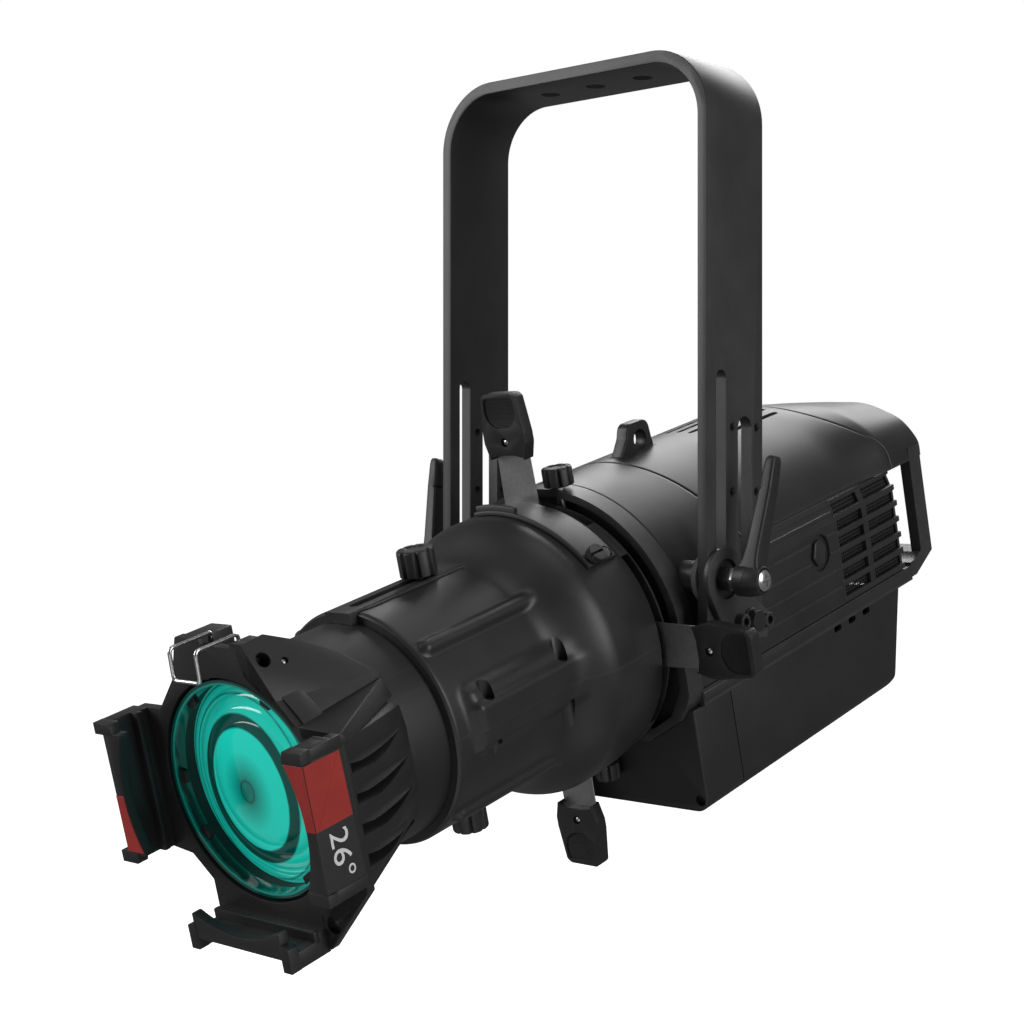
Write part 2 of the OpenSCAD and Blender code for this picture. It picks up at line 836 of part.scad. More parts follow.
module shutter_right() color(blade_grey) shutter_place(1) blade(shutter_planes[1]);

module shutter_bottom() color(blade_grey) shutter_place(2) blade(shutter_planes[2]);

module shutter_left() color(blade_grey) shutter_place(3) blade(shutter_planes[3]);

module shutter_top_grip() color(black) shutter_place(0) grip(shutter_planes[0]);

module shutter_right_grip() color(black) shutter_place(1) grip(shutter_planes[1]);

module shutter_bottom_grip() color(black) shutter_place(2) grip(shutter_planes[2]);

module shutter_left_grip() color(black) shutter_place(3) grip(shutter_planes[3]);

// ---- lens tube ----
focus_y = -142;
lower_focus_y = -138;

module lens_tube() color(black) difference() {
    tube_y(-296, -114, tube_r, 63);
    translate([0, focus_y, 55]) cylinder(r = 2.58, h = 15);
    translate([0, lower_focus_y, -70]) cylinder(r = 2.58, h = 15);
}

module front_lens() color(glass) lens(-281, lens_r, 9);

module lens_retainer() color(black) {
    tube_y(-296, -281, 63, lens_r);
    for (a = [80, 172, 228, 340]) rotate([0, -a, 0]) {
        box([56, -293.5, -4], [61, -291.5, 4]);
    }
}

module rear_lens() color(glass) lens(-190, 63, 10);

holder_back = -300.3;
arm_half = 41.6;
side_out = 86.1;

module plate_outline() {
    difference() {
        polygon([[-82, -42], [-58.8, -44.8], [-44.4, -58.4], [-44.6, -84.8], [46.2, -84.8], [84, -46],
            [84, 41.6], [53.9, 42.4], [41.9, 55], [22.1, 84.9], [12.6, 85.4], [12.6, 82.4],
            [-12.6, 82.4], [-12.6, 86.2], [-33, 86.2], [-43.4, 60.3], [-60.3, 41.8], [-82, 41.6]]);
        circle(aperture_r);
    }
}

// the tapered skirt that carries the plate from the tube, with its sunk pockets
module skirt() difference() {
    union() {
        hull() {
            box([60, holder_back, -41.6], [84.5, holder_back + 5, 36]);
            box([60, -238, -30], [66.2, -236, 28]);
            box([52, -238, -38], [54, -236, 34]);
        }
        hull() {
            box([54, holder_back, 35.8], [86.1, holder_back + 3, 41.7]);
            box([84, -296, 35.8], [86.1, -294, 38]);
            box([46, -236, 36], [50, -234, 45]);
            box([53, -236, 35.9], [56.9, -234, 37]);
        }
        hull() {
            box([20, holder_back, 66], [22.1, -284.3, 84.9]);
            box([40, holder_back, 45], [41.9, -299, 55]);
            box([51, holder_back, 41], [53.9, -299, 42.4]);
            box([44, -236, 44], [47.5, -234, 47.5]);
            box([34, -247, 52], [36, -245.8, 63]);
            box([26, -266, 60], [27.6, -264.7, 76]);
        }
    }
    for (i = [0:3]) prism_x(67.2, 100) translate([0, 8 - 17 * i]) {
        polygon([[-296, 18], [-296, 10], [-271, 6.5], [-256, 8.5], [-240, 13.6]]);
    }
}

// the lower corner's gusset
module foot_gusset() {
    hull() {
        box([44, holder_back, -84.8], [46.2, -296, -70]);
        box([80, holder_back, -46], [84, -296, -41]);
        box([44, -236, -48], [46, -234, -46]);
        box([54, -236, -38], [58, -234, -34]);
    }
}

// One of the three channels that hold a frame, drawn on the +X side. Its front flange's
// outer face is set back by inset, and its round inner edge moves with it.
module frame_channel(half, inset) {
    box([80, holder_back, -half], [side_out - 2, -281, half]);
    box([side_out - 2.8 - inset, holder_front, -half], [side_out - inset, holder_back, half]);
    difference() {
        prism_y(holder_front, -321.4) translate([60, -half]) square([side_out - 60.4 - inset, 2 * half]);
        translate([-inset, 0, 0]) rod_y(-330, -320, 79);
        box([50, -330, -50], [70.5 - inset, -320, 50]);
    }
    for (z = [-1, 1]) translate([0, 0, z * (half - 3.4)]) {
        box([70.5 - inset, holder_front, -3.4], [side_out, -321.4, 3.4]);
        box([side_out - 2.8 - inset, -321.5, -3.4], [side_out, holder_back, 3.4]);
    }
    box([72.6, -308.9, -half], [side_out - 2.8 - inset, -305.4, half]);
    box([side_out - 6 - inset, -306, -half], [side_out - 2.8 - inset, holder_back, half]);
}

clip_y = -292;
clip_z = 82;
clip_top = 87.6;
clip_front = -321.5;

module colour_frame_holder() color(black) difference() {
    union() {
        prism_y(holder_back, -295.3) plate_outline();
        tube_y(-295.4, -282, 69.5, tube_r);
        frame_channel(arm_half, 0);
        rotate([0, 90, 0]) translate([0, 0, 3]) frame_channel(arm_half, 6.5);
        rotate([0, 180, 0]) frame_channel(arm_half, 6.5);
        box([-33, holder_back, 66], [-12.6, -276, 86.2]);
        box([12.6, holder_back, 66], [22, -286, 84.5]);
        skirt();
        foot_gusset();
    }
    rod_y(-330, -230, tube_r);
    translate([0, clip_y, clip_z]) rod_x(-22, 21, 1.25);
    box([-12.6, -295.4, 76], [12.6, -270, 90]);
    translate([29.2, 0, 74.1]) rod_y(-310, -250, 5.2);
    translate([51.9, 0, -69.9]) rod_y(-310, -230, 5.2);
}

// a bent wire: a hinge rod in the plate's lugs, and a loop over the plate's front
module holder_clip() color(steel) {
    translate([0, clip_y, clip_z]) rod_x(-20, 20, 1.2);
    for (x = [-1, 1]) translate([x * 11, 0, 0]) {
        translate([0, clip_y, clip_z]) cylinder(r = 1.2, h = clip_top - clip_z);
        translate([0, clip_y, clip_top]) sphere(1.2, $fn = 24);
        translate([0, 0, clip_top]) rod_y(clip_front, clip_y, 1.2);
        translate([0, clip_front, 70]) cylinder(r = 1.2, h = clip_top - 70);
        translate([0, clip_front, clip_top]) sphere(1.2, $fn = 24);
        translate([0, clip_front, 70]) sphere(1.2, $fn = 24);
    }
    translate([0, clip_front, 70]) rod_x(-11, 11, 1.2);
}

module focus_knob() color(black) translate([0, focus_y, 0]) {
    translate([0, 0, 73.4]) lobed_knob(11.5, 17, 8);
    translate([0, 0, 60]) cylinder(r = 2.5, h = 13.5);
}

module lower_focus_knob() color(black) translate([0, lower_focus_y, 0]) {
    translate([0, 0, -90.4]) lobed_knob(11.5, 17, 8);
    translate([0, 0, -73.5]) cylinder(r = 2.5, h = 13.5);
}

// ---- drawing ----
yoke();
pivot_plates();
plate_cap_screws();
plate_hex_bolts();
in_head() pivot_brackets();
in_head() tilt_studs();
in_head() friction_discs();
in_head() front_bezel();
in_head() front_hood();
in_head() top_cover();
in_head() rear_hood();
in_head() side_panels();
in_head() vent_screens();
in_head() lower_tray();
in_head() electronics_box();
in_head() box_front_cover();
in_head() rear_handles();
in_head() rear_panel();
in_head() safety_loop();
in_head() heat_sink();
in_head() led_board();
in_head() mixing_cone();
in_head() condenser_lens();
in_head() fan_frame();
in_head() fan_rotor();
in_head() power_supply();
in_head() control_board();
in_head() rear_sockets();
in_head() display_window();
in_head() housing_screws();
in_head() lever_right();
in_head() lever_left();
in_head() button_menu();
in_head() button_up();
in_head() button_down();
in_head() rotation_lock_knob();
in_head() gate_lock_knob();
in_head() barrel_upper_half();
in_head() barrel_lower_half();
in_head() barrel_screws();
in_head() gate_front_plate();
in_head() gate_rear_ring();
in_head() slot_cover();
in_head() slot_cover_screw();
in_head() shutter_top();
in_head() shutter_right();
in_head() shutter_bottom();
in_head() shutter_left();
in_head() shutter_top_grip();
in_head() shutter_right_grip();
in_head() shutter_bottom_grip();
in_head() shutter_left_grip();
in_head() lens_tube();
in_head() colour_frame_holder();
in_head() holder_clip();
in_head() front_lens();
in_head() lens_retainer();
in_head() rear_lens();
in_head() focus_knob();
in_head() lower_focus_knob();
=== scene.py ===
import json
import math

import bmesh
import bpy
import numpy as np
from mathutils import Matrix, Vector


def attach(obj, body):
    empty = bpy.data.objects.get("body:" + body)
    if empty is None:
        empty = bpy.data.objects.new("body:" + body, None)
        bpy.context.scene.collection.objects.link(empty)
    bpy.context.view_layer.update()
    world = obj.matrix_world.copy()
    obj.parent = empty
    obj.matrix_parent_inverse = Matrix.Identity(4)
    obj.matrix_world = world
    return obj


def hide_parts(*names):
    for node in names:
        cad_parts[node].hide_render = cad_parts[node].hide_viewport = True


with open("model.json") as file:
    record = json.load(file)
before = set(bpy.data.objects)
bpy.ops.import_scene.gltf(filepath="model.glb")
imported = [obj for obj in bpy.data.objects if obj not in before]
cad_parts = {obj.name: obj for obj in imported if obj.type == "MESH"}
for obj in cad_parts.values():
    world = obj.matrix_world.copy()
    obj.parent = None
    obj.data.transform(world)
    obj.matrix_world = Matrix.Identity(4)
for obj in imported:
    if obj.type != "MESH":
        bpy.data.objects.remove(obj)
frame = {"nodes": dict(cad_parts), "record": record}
scene = bpy.context.scene
nodes = frame["nodes"]
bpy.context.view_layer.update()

# ---------------------------------------------------------------- the shared frame
# Pieces of the lamp head are drawn in the head's own frame: mm, the beam axis along y, the lens at
# negative y. Pieces of the yoke are drawn in the row frame, also in mm.
TILT = math.radians(14.7)
PIVOT = Vector((0.0, -0.0157, -0.3304))
HEAD_PIVOT = Vector((0.0, 0.003, 0.0313))
HEAD = Matrix.Translation(PIVOT) @ Matrix.Rotation(TILT, 4, "X") @ Matrix.Translation(-HEAD_PIVOT)
MM = 0.001
SIDES = ((1, "right"), (-1, "left"))


# ---------------------------------------------------------------- materials
def new_material(name):
    mat = bpy.data.materials.new(name)
    mat.use_nodes = True
    return mat, mat.node_tree, mat.node_tree.nodes["Principled BSDF"]


def add(tree, kind, **values):
    node = tree.nodes.new(kind)
    for key, value in values.items():
        if key in node.inputs:
            node.inputs[key].default_value = value
        else:
            setattr(node, key, value)
    return node


def object_coords(tree):
    return add(tree, "ShaderNodeTexCoord").outputs["Object"]


def noise(tree, coords, scale, detail=4.0, rough=0.55):
    n = add(tree, "ShaderNodeTexNoise", Scale=scale, Detail=detail, Roughness=rough)
    tree.links.new(coords, n.inputs["Vector"])
    return n.outputs["Fac"]


def ramp(tree, value, stops):
    r = add(tree, "ShaderNodeValToRGB")
    first, last = r.color_ramp.elements
    first.position, first.color = stops[0]
    last.position, last.color = stops[-1]
    for pos, col in stops[1:-1]:
        r.color_ramp.elements.new(pos).color = col
    tree.links.new(value, r.inputs["Fac"])
    return r.outputs["Color"]


def vary_roughness(tree, shader, value, low, high):
    span = add(tree, "ShaderNodeMapRange", **{"To Min": low, "To Max": high})
    tree.links.new(value, span.inputs["Value"])
    tree.links.new(span.outputs[0], shader.inputs["Roughness"])


def add_bump(tree, shader, height, strength, distance):
    b = add(tree, "ShaderNodeBump", Strength=strength, Distance=distance)
    tree.links.new(height, b.inputs["Height"])
    tree.links.new(b.outputs["Normal"], shader.inputs["Normal"])


def grey(v):
    return (v, v, v * 1.03, 1.0)


def coated(name, base, rough, grain=900.0, bump=0.12, wear=0.25, metallic=0.0):
    """A painted or moulded surface: fine orange peel, faint cloudiness, and rubbed, paler edges."""
    mat, tree, shader = new_material(name)
    co = object_coords(tree)
    cloud = noise(tree, co, 26.0, 5.0, 0.6)
    colour = ramp(tree, cloud, [(0.3, grey(base * 0.82)), (0.7, grey(base * 1.22))])
    geo = add(tree, "ShaderNodeNewGeometry")
    edge = ramp(tree, geo.outputs["Pointiness"], [(0.53, (0, 0, 0, 1)), (0.62, (wear, wear, wear, 1))])
    rubbed = add(tree, "ShaderNodeMath", operation="MULTIPLY")
    tree.links.new(edge, rubbed.inputs[0])
    tree.links.new(noise(tree, co, 120.0, 6.0, 0.7), rubbed.inputs[1])
    mix = add(tree, "ShaderNodeMix", data_type="RGBA")
    tree.links.new(rubbed.outputs[0], mix.inputs[0])
    tree.links.new(colour, mix.inputs[6])
    mix.inputs[7].default_value = grey(min(base * 6.0, 0.3))
    tree.links.new(mix.outputs[2], shader.inputs["Base Color"])
    vary_roughness(tree, shader, cloud, rough - 0.05, rough + 0.07)
    add_bump(tree, shader, noise(tree, co, grain, 3.0, 0.6), bump, 0.0004)
    shader.inputs["Metallic"].default_value = metallic
    return mat


def metal(name, base, rough, stretch=(1.0, 1.0, 1.0), bump=0.05):
    """Brushed or polished metal, with streaks along one axis and small scratches."""
    mat, tree, shader = new_material(name)
    co = object_coords(tree)
    mapping = add(tree, "ShaderNodeMapping", Scale=stretch)
    tree.links.new(co, mapping.inputs["Vector"])
    streak = noise(tree, mapping.outputs[0], 400.0, 6.0, 0.6)
    colour = ramp(tree, streak, [(0.25, grey(base * 0.85)), (0.75, grey(min(base * 1.12, 1.0)))])
    tree.links.new(colour, shader.inputs["Base Color"])
    vary_roughness(tree, shader, noise(tree, co, 40.0, 4.0, 0.6), max(rough - 0.08, 0.05), rough + 0.1)
    add_bump(tree, shader, streak, bump, 0.0002)
    shader.inputs["Metallic"].default_value = 1.0
    return mat


def dyed(name, colour, rough=0.5, grain=1500.0, bump=0.1):
    """A coloured moulding or printed film, slightly uneven, with a fine grain."""
    mat, tree, shader = new_material(name)
    co = object_coords(tree)
    cloud = noise(tree, co, 45.0, 5.0, 0.6)
    dark = tuple(v * 0.86 for v in colour) + (1.0,)
    pale = tuple(min(1.0, v * 1.1) for v in colour) + (1.0,)
    tree.links.new(ramp(tree, cloud, [(0.3, dark), (0.7, pale)]), shader.inputs["Base Color"])
    vary_roughness(tree, shader, cloud, rough - 0.06, rough + 0.08)
    add_bump(tree, shader, noise(tree, co, grain, 3.0, 0.6), bump, 0.0003)
    return mat


def painted_glow_glass(name, stops, strength, drawn_out):
    """Teal glass with painted light: bright and dark rings of painted glow, coloured by the distance from the
    beam axis; 64 mm is the ramp's end.
    """
    mat, tree, shader = new_material(name)
    co = object_coords(tree)
    # back to the head's own frame, where the axis is y
    inv = HEAD.inverted()
    mapping = add(tree, "ShaderNodeMapping", Location=inv.translation, Rotation=inv.to_euler("XYZ"))
    tree.links.new(co, mapping.inputs["Vector"])
    sep = add(tree, "ShaderNodeSeparateXYZ")
    tree.links.new(mapping.outputs[0], sep.inputs[0])
    comb = add(tree, "ShaderNodeCombineXYZ")
    tree.links.new(sep.outputs[0], comb.inputs[0])
    tree.links.new(sep.outputs[2], comb.inputs[1])
    # seen through the glass, the painted rings look drawn out and a little off the axis
    seen = add(tree, "ShaderNodeMapping")
    if drawn_out:
        seen.inputs["Location"].default_value = (0.0068, 0.0034, 0.0)
        seen.inputs["Scale"].default_value = (0.94, 0.81, 1.0)
    tree.links.new(comb.outputs[0], seen.inputs["Vector"])
    length = add(tree, "ShaderNodeVectorMath", operation="LENGTH")
    tree.links.new(seen.outputs[0], length.inputs[0])
    scale = add(tree, "ShaderNodeMath", operation="DIVIDE")
    tree.links.new(length.outputs["Value"], scale.inputs[0])
    scale.inputs[1].default_value = 0.064
    waver = add(tree, "ShaderNodeMath", operation="MULTIPLY_ADD")
    tree.links.new(noise(tree, co, 60.0, 3.0, 0.5), waver.inputs[0])
    waver.inputs[1].default_value = 0.012
    tree.links.new(scale.outputs[0], waver.inputs[2])
    # the ramp paints the glow into both the base colour and the emission
    colour = ramp(tree, waver.outputs[0], [(pos, teal(v)) for pos, v in stops])
    tree.links.new(colour, shader.inputs["Base Color"])
    tree.links.new(colour, shader.inputs["Emission Color"])
    for socket, value in (("Emission Strength", strength), ("Roughness", 0.08), ("Coat Weight", 0.6),
                          ("Coat Roughness", 0.03)):
        shader.inputs[socket].default_value = value
    add_bump(tree, shader, noise(tree, co, 300.0, 3.0, 0.5), 0.02, 0.0003)
    return mat


def teal(v):
    return (0.012 * v, 0.75 * v, 0.6 * v, 1.0)


# base tone, roughness, grain, bump, wear and metallic
COATINGS = {
    "yoke_paint": (0.026, 0.42, 1400.0, 0.1, 0.5),
    "cast_black": (0.017, 0.4, 1300.0, 0.12, 0.4),
    "plastic_black": (0.012, 0.46, 1900.0, 0.16, 0.3),
    "black_steel": (0.02, 0.36, 2500.0, 0.06, 0.6, 0.3),
    "dark_mesh": (0.009, 0.5, 1600.0, 0.1),
    "friction_pad": (0.07, 0.8, 2200.0, 0.5),
    "board": (0.03, 0.4, 700.0, 0.2),
    "grey_rubber": (0.09, 0.7, 1800.0, 0.2),
    "display": (0.012, 0.12, 300.0, 0.0),
    "lens_glass": (0.1, 0.1, 300.0, 0.0),
    "label_black": (0.022, 0.5, 1700.0, 0.12, 0.1),
}
# base tone, roughness, and the blades' brushing
METALS = {
    "steel": (0.62, 0.28),
    "blade_steel": (0.42, 0.36, (1.0, 0.1, 1.0), 0.08),
    "wire": (0.66, 0.2),
    "bare_aluminium": (0.6, 0.4),
}
M = {name: coated(name, *look) for name, look in COATINGS.items()}
M.update({name: metal(name, *look) for name, look in METALS.items()})
M["label_red"] = dyed("label_red", (0.36, 0.024, 0.018))
M["label_white"] = dyed("label_white", (0.75, 0.75, 0.75))
# the front lens: its teal tint carries bright and dark rings of painted glow, for the light that shows in the
# glass
M["front_glass"] = painted_glow_glass("front_glass", [
    (0.0, 0.22), (0.07, 0.26), (0.085, 0.12), (0.10, 0.34), (0.3, 0.95), (0.455, 1.0), (0.47, 0.10),
    (0.56, 0.10), (0.575, 0.9), (0.69, 0.95), (0.70, 0.25), (0.715, 0.9), (0.76, 0.9), (0.77, 0.2),
    (0.785, 0.9), (0.85, 0.8), (0.86, 0.12), (0.88, 0.75), (0.927, 0.42), (0.9375, 0.3), (0.94, 0.08),
    (0.945, 0.08), (0.948, 0.5), (0.966, 0.45), (0.972, 0.08), (1.0, 0.12)], 0.25, drawn_out=True)
# the lens flange: a faint painted glow, with a dark painted ring near its edge
M["flange_painted_glow"] = painted_glow_glass("flange_painted_glow", [
    (0.0, 0.1), (0.93, 0.12), (0.942, 0.02), (0.95, 0.45), (0.962, 0.32), (0.968, 0.03), (0.975, 0.1),
    (1.0, 0.05)], 0.12, drawn_out=False)

slots = {s["node"]: s["material_slot"] for s in frame["record"]["subparts"]}
for name, obj in nodes.items():
    obj.data.materials.clear()
    obj.data.materials.append(M[slots[name]])


# ---------------------------------------------------------------- mesh tools
def in_head(v):
    """A point in the head's frame, in mm, to the row frame in metres."""
    return HEAD @ (Vector(v) * MM)


def in_row(v):
    return Vector(v) * MM


def polar(r, degrees, cx=0.0, cy=0.0, r2=None):
    """A point on a circle, or on an ellipse when r2 is given."""
    t = math.radians(degrees)
    return (cx + r * math.cos(t), cy + (r if r2 is None else r2) * math.sin(t))


def circle(r, angles, cx=0.0, cy=0.0, r2=None):
    return [polar(r, a, cx, cy, r2) for a in angles]


def span(s, a, b):
    """Two x values on the right-hand side, or their mirror on the left, low one first."""
    return sorted((s * a, s * b))


def mirrored(s, points):
    return [(s * a, b) for a, b in points]


def finish_mesh(obj, mat, body, sharp=32.0):
    obj.data.materials.clear()
    obj.data.materials.append(M[mat])
    obj.data.shade_smooth()
    obj.data.set_sharp_from_angle(angle=math.radians(sharp))
    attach(obj, body)
    return obj


def linked(name, mesh):
    obj = bpy.data.objects.new(name, mesh)
    scene.collection.objects.link(obj)
    return obj


def raw(name, verts, faces, place=in_head):
    mesh = bpy.data.meshes.new(name)
    mesh.from_pydata([place(v) for v in verts], [], faces)
    bm = bmesh.new()
    bm.from_mesh(mesh)
    bmesh.ops.remove_doubles(bm, verts=bm.verts, dist=1e-6)
    bmesh.ops.recalc_face_normals(bm, faces=bm.faces)
    bm.to_mesh(mesh)
    bm.free()
    return linked(name, mesh)


def corner_points(points, radius, steps=5):
    """Rounds the corners of a closed 2-D outline. radius is one number, or one for each corner."""
    out = []
    n = len(points)
    for i in range(n):
        p0, p, p1 = (Vector(points[(i + k) % n]) for k in (-1, 0, 1))
        r = radius[i] if isinstance(radius, (list, tuple)) else radius
        a, b = (p0 - p), (p1 - p)
        if r <= 0 or a.length < 1e-6 or b.length < 1e-6:
            out.append(tuple(p))
            continue
        a.normalize()
        b.normalize()
        ang = math.acos(max(-1.0, min(1.0, a.dot(b))))
        if ang > math.pi - 0.05:
            out.append(tuple(p))
            continue
        d = min(r / math.tan(ang / 2), (p0 - p).length * 0.49, (p1 - p).length * 0.49)
        rr = d * math.tan(ang / 2)
        centre = p + (a + b).normalized() * (rr / math.sin(ang / 2))
        s, e = p + a * d - centre, p + b * d - centre
        a0, a1 = math.atan2(s.y, s.x), math.atan2(e.y, e.x)
        while a1 - a0 > math.pi:
            a1 -= 2 * math.pi
        while a1 - a0 < -math.pi:
            a1 += 2 * math.pi
        for k in range(steps + 1):
            t = a0 + (a1 - a0) * k / steps
            out.append((centre.x + rr * math.cos(t), centre.y + rr * math.sin(t)))
    return out


# how a 2-D point and a height become a 3-D point, for an outline drawn in each plane
PLANES = {
    "xz": lambda a, b, h: (a, h, b),
    "yz": lambda a, b, h: (h, a, b),
    "xy": lambda a, b, h: (a, b, h),
}


def loft(name, rings, place=in_head):
    """Joins closed rings that have the same number of points, and closes both ends."""
    m, last = len(rings[0]), (len(rings) - 1) * len(rings[0])
    faces = [list(range(m)), list(range(last + m - 1, last - 1, -1))]
    for k in range(0, last, m):
        for i in range(m):
            j = (i + 1) % m
            faces.append([k + i, k + j, k + m + j, k + m + i])
    return raw(name, [p for ring in rings for p in ring], faces, place)


def prism(name, points, lo, hi, plane, place=in_head):
    at = PLANES[plane]
    return loft(name, [[at(a, b, h) for a, b in points] for h in (lo, hi)], place)


def rod(name, a, b, r, place=in_head, segs=32, r2=None):
    """A straight round bar from a to b, or a cone when r2 is given."""
    a, b = Vector(a), Vector(b)
    axis = (b - a).normalized()
    side = axis.orthogonal().normalized()
    up = axis.cross(side)
    turns = [2 * math.pi * i / segs for i in range(segs)]
    return loft(name, [[tuple(p + side * math.cos(t) * rad + up * math.sin(t) * rad) for t in turns]
                       for p, rad in ((a, r), (b, r if r2 is None else r2))], place)


def drill(obj, x, y, z, r, axis, reach, place=in_head, segs=32, r2=None):
    """Cuts a round hole along one axis; reach gives its two ends on that axis."""
    ends = [[x, y, z], [x, y, z]]
    for end, value in zip(ends, reach):
        end["xyz".index(axis)] = value
    return cut(obj, rod("c", ends[0], ends[1], r, place, segs, r2))


def block(name, lo, hi, place=in_head):
    pts = [(lo[0], lo[1]), (hi[0], lo[1]), (hi[0], hi[1]), (lo[0], hi[1])]
    return prism(name, pts, lo[2], hi[2], "xy", place)


def lathe(name, profile, place=in_head, segs=128, centre=(0, 0, 0), axis="Y"):
    """Turns a closed outline of (radius, height) points about an axis through centre."""
    at = PLANES[{"X": "yz", "Y": "xz", "Z": "xy"}[axis]]
    n = len(profile)
    verts, faces = [], []
    for i in range(segs):
        t = 2 * math.pi * i / segs
        verts += [tuple(Vector(at(r * math.cos(t), r * math.sin(t), h)) + Vector(centre)) for r, h in profile]
        j = (i + 1) % segs
        for k in range(n):
            m = (k + 1) % n
            faces.append([i * n + k, i * n + m, j * n + m, j * n + k])
    return raw(name, verts, faces, place)


def drop(objects):
    for obj in objects:
        data = obj.data
        bpy.data.objects.remove(obj)
        bpy.data.meshes.remove(data)


def settle(obj):
    """Replaces the object's mesh by what its modifiers make of it."""
    bpy.context.view_layer.update()
    dg = bpy.context.evaluated_depsgraph_get()
    mesh = bpy.data.meshes.new_from_object(obj.evaluated_get(dg))
    obj.modifiers.clear()
    old = obj.data
    obj.data = mesh
    bpy.data.meshes.remove(old)
    return obj


def boolean(obj, others, op):
    for other in others:
        m = obj.modifiers.new("b", "BOOLEAN")
        m.operation, m.object, m.solver = op, other, "EXACT"
    settle(obj)
    drop(others)
    return obj


def cut(obj, *cutters):
    return boolean(obj, cutters, "DIFFERENCE")


def clean(obj):
    """Merges flat faces after booleans, so that a bevel runs cleanly."""
    bm = bmesh.new()
    bm.from_mesh(obj.data)
    bmesh.ops.remove_doubles(bm, verts=bm.verts, dist=2e-6)
    bmesh.ops.dissolve_limit(bm, angle_limit=math.radians(1.0), verts=bm.verts, edges=bm.edges)
    bm.to_mesh(obj.data)
    bm.free()
    return obj


def edge_bevel(obj, name, width, segments, angle):
    m = obj.modifiers.new(name, "BEVEL")
    m.width = width * MM
    m.segments = segments
    m.limit_method = "ANGLE"
    m.angle_limit = math.radians(angle)
    m.use_clamp_overlap = True
    return m


def soften(obj, width, segments=2, angle=32.0):
    """Rounds the edges, and leaves a plain mesh."""
    edge_bevel(obj, "bevel", width, segments, angle).miter_outer = "MITER_ARC"
    return settle(obj)


def merge(obj, *others):
    """Joins the meshes of touching parts into one object without a boolean."""
    bm = bmesh.new()
    for o in (obj, *others):
        bm.from_mesh(o.data)
    bm.to_mesh(obj.data)
    bm.free()
    drop(others)
    return obj


def hull(name, pts):
    """The convex solid round a set of points."""
    mesh = bpy.data.meshes.new(name)
    bm = bmesh.new()
    for p in pts:
        bm.verts.new(in_head(p))
    out = bmesh.ops.convex_hull(bm, input=bm.verts)
    inside = [g for g in out["geom_interior"] + out["geom_unused"] if isinstance(g, bmesh.types.BMVert)]
    bmesh.ops.delete(bm, geom=list(set(inside)), context="VERTS")
    bmesh.ops.dissolve_limit(bm, angle_limit=math.radians(0.5), verts=bm.verts, edges=bm.edges)
    bmesh.ops.recalc_face_normals(bm, faces=bm.faces)
    bm.to_mesh(mesh)
    bm.free()
    return linked(name, mesh)


def shell(name, outer, inner):
    """A wall between two grids of points that have the same rows and columns."""
    n, m = len(outer), len(outer[0])
    off = n * m
    faces = []
    for i in range(n - 1):
        for j in range(m - 1):
            a, b = i * m + j, (i + 1) * m + j
            faces += [(a, a + 1, b + 1, b), (off + a, off + b, off + b + 1, off + a + 1)]
    for i in range(n - 1):
        a, b = i * m, (i + 1) * m
        c, d = a + m - 1, b + m - 1
        faces += [(a, b, off + b, off + a), (c, off + c, off + d, d)]
    for j in range(m - 1):
        a = (n - 1) * m + j
        faces += [(j, off + j, off + j + 1, j + 1), (a, a + 1, off + a + 1, off + a)]
    return raw(name, [p for grid in (outer, inner) for row in grid for p in row], faces)


def wire(name, points, r, bend, segs=16):
    """A bent rod: straight runs joined by round bends."""
    pts = [Vector(p) for p in points]
    path = [pts[0]]
    for a, b, c in zip(pts, pts[1:], pts[2:]):
        u, w = (a - b), (c - b)
        d = min(bend, u.length * 0.45, w.length * 0.45)
        p0, p2 = b + u.normalized() * d, b + w.normalized() * d
        for k in range(7):
            t = k / 6.0
            path.append(p0 * (1 - t) ** 2 + b * 2 * t * (1 - t) + p2 * t * t)
    path.append(pts[-1])
    rings = []
    ref = None
    for i, p in enumerate(path):
        d = (path[min(i + 1, len(path) - 1)] - path[max(i - 1, 0)]).normalized()
        if ref is None:
            ref = d.orthogonal().normalized()
        ref = (ref - d * ref.dot(d)).normalized()
        other = d.cross(ref)
        turns = [2 * math.pi * k / segs for k in range(segs)]
        rings.append([tuple(p + ref * math.cos(t) * r + other * math.sin(t) * r) for t in turns])
    return loft(name, rings)


# ---------------------------------------------------------------- barrel
RIM_Y = -34.6
DOME_R = 90.3
BARREL_R = 72.0
BORE_R = 66.12
WALL = 2.6
BARREL_SCREW_X, BARREL_SCREW_YS = 73, (-178.0, -112.0)


def rise(t):
    t = np.clip(t, 0.0, 1.0)
    return (1.0 - np.cos(np.pi * t)) / 2.0


def barrel_at(y):
    """The barrel's outer radius: a tube that swells into the dome."""
    y = np.asarray(y, float)
    r = BARREL_R + (DOME_R - BARREL_R) * rise((y + 120.0) / 42.0)
    back = DOME_R - 3.3 * np.clip((y + 70.0) / 35.4, 0.0, 2.0) ** 2
    return np.where(y > -70.0, back, r)


def smooth_join(a, b, k):
    """The union of two distance fields, with a fillet of about k between them."""
    h = np.clip(0.5 + 0.5 * (b - a) / k, 0.0, 1.0)
    return b * (1 - h) + a * h - k * h * (1 - h)


def capsule(x, y, z, cx, cz, y0, y1, r):
    """Distance to a round-ended bar along y."""
    return np.sqrt((x - cx) ** 2 + (y - np.clip(y, y0, y1)) ** 2 + (z - cz) ** 2) - r


def round_box(a, b, c, ha, hb, hc, r):
    """Distance to a box with half sizes ha, hb and hc and rounded edges."""
    qa, qb, qc = np.abs(a) - ha + r, np.abs(b) - hb + r, np.abs(c) - hc + r
    out = np.sqrt(np.maximum(qa, 0) ** 2 + np.maximum(qb, 0) ** 2 + np.maximum(qc, 0) ** 2)
    return out + np.minimum(np.maximum(qa, np.maximum(qb, qc)), 0.0) - r


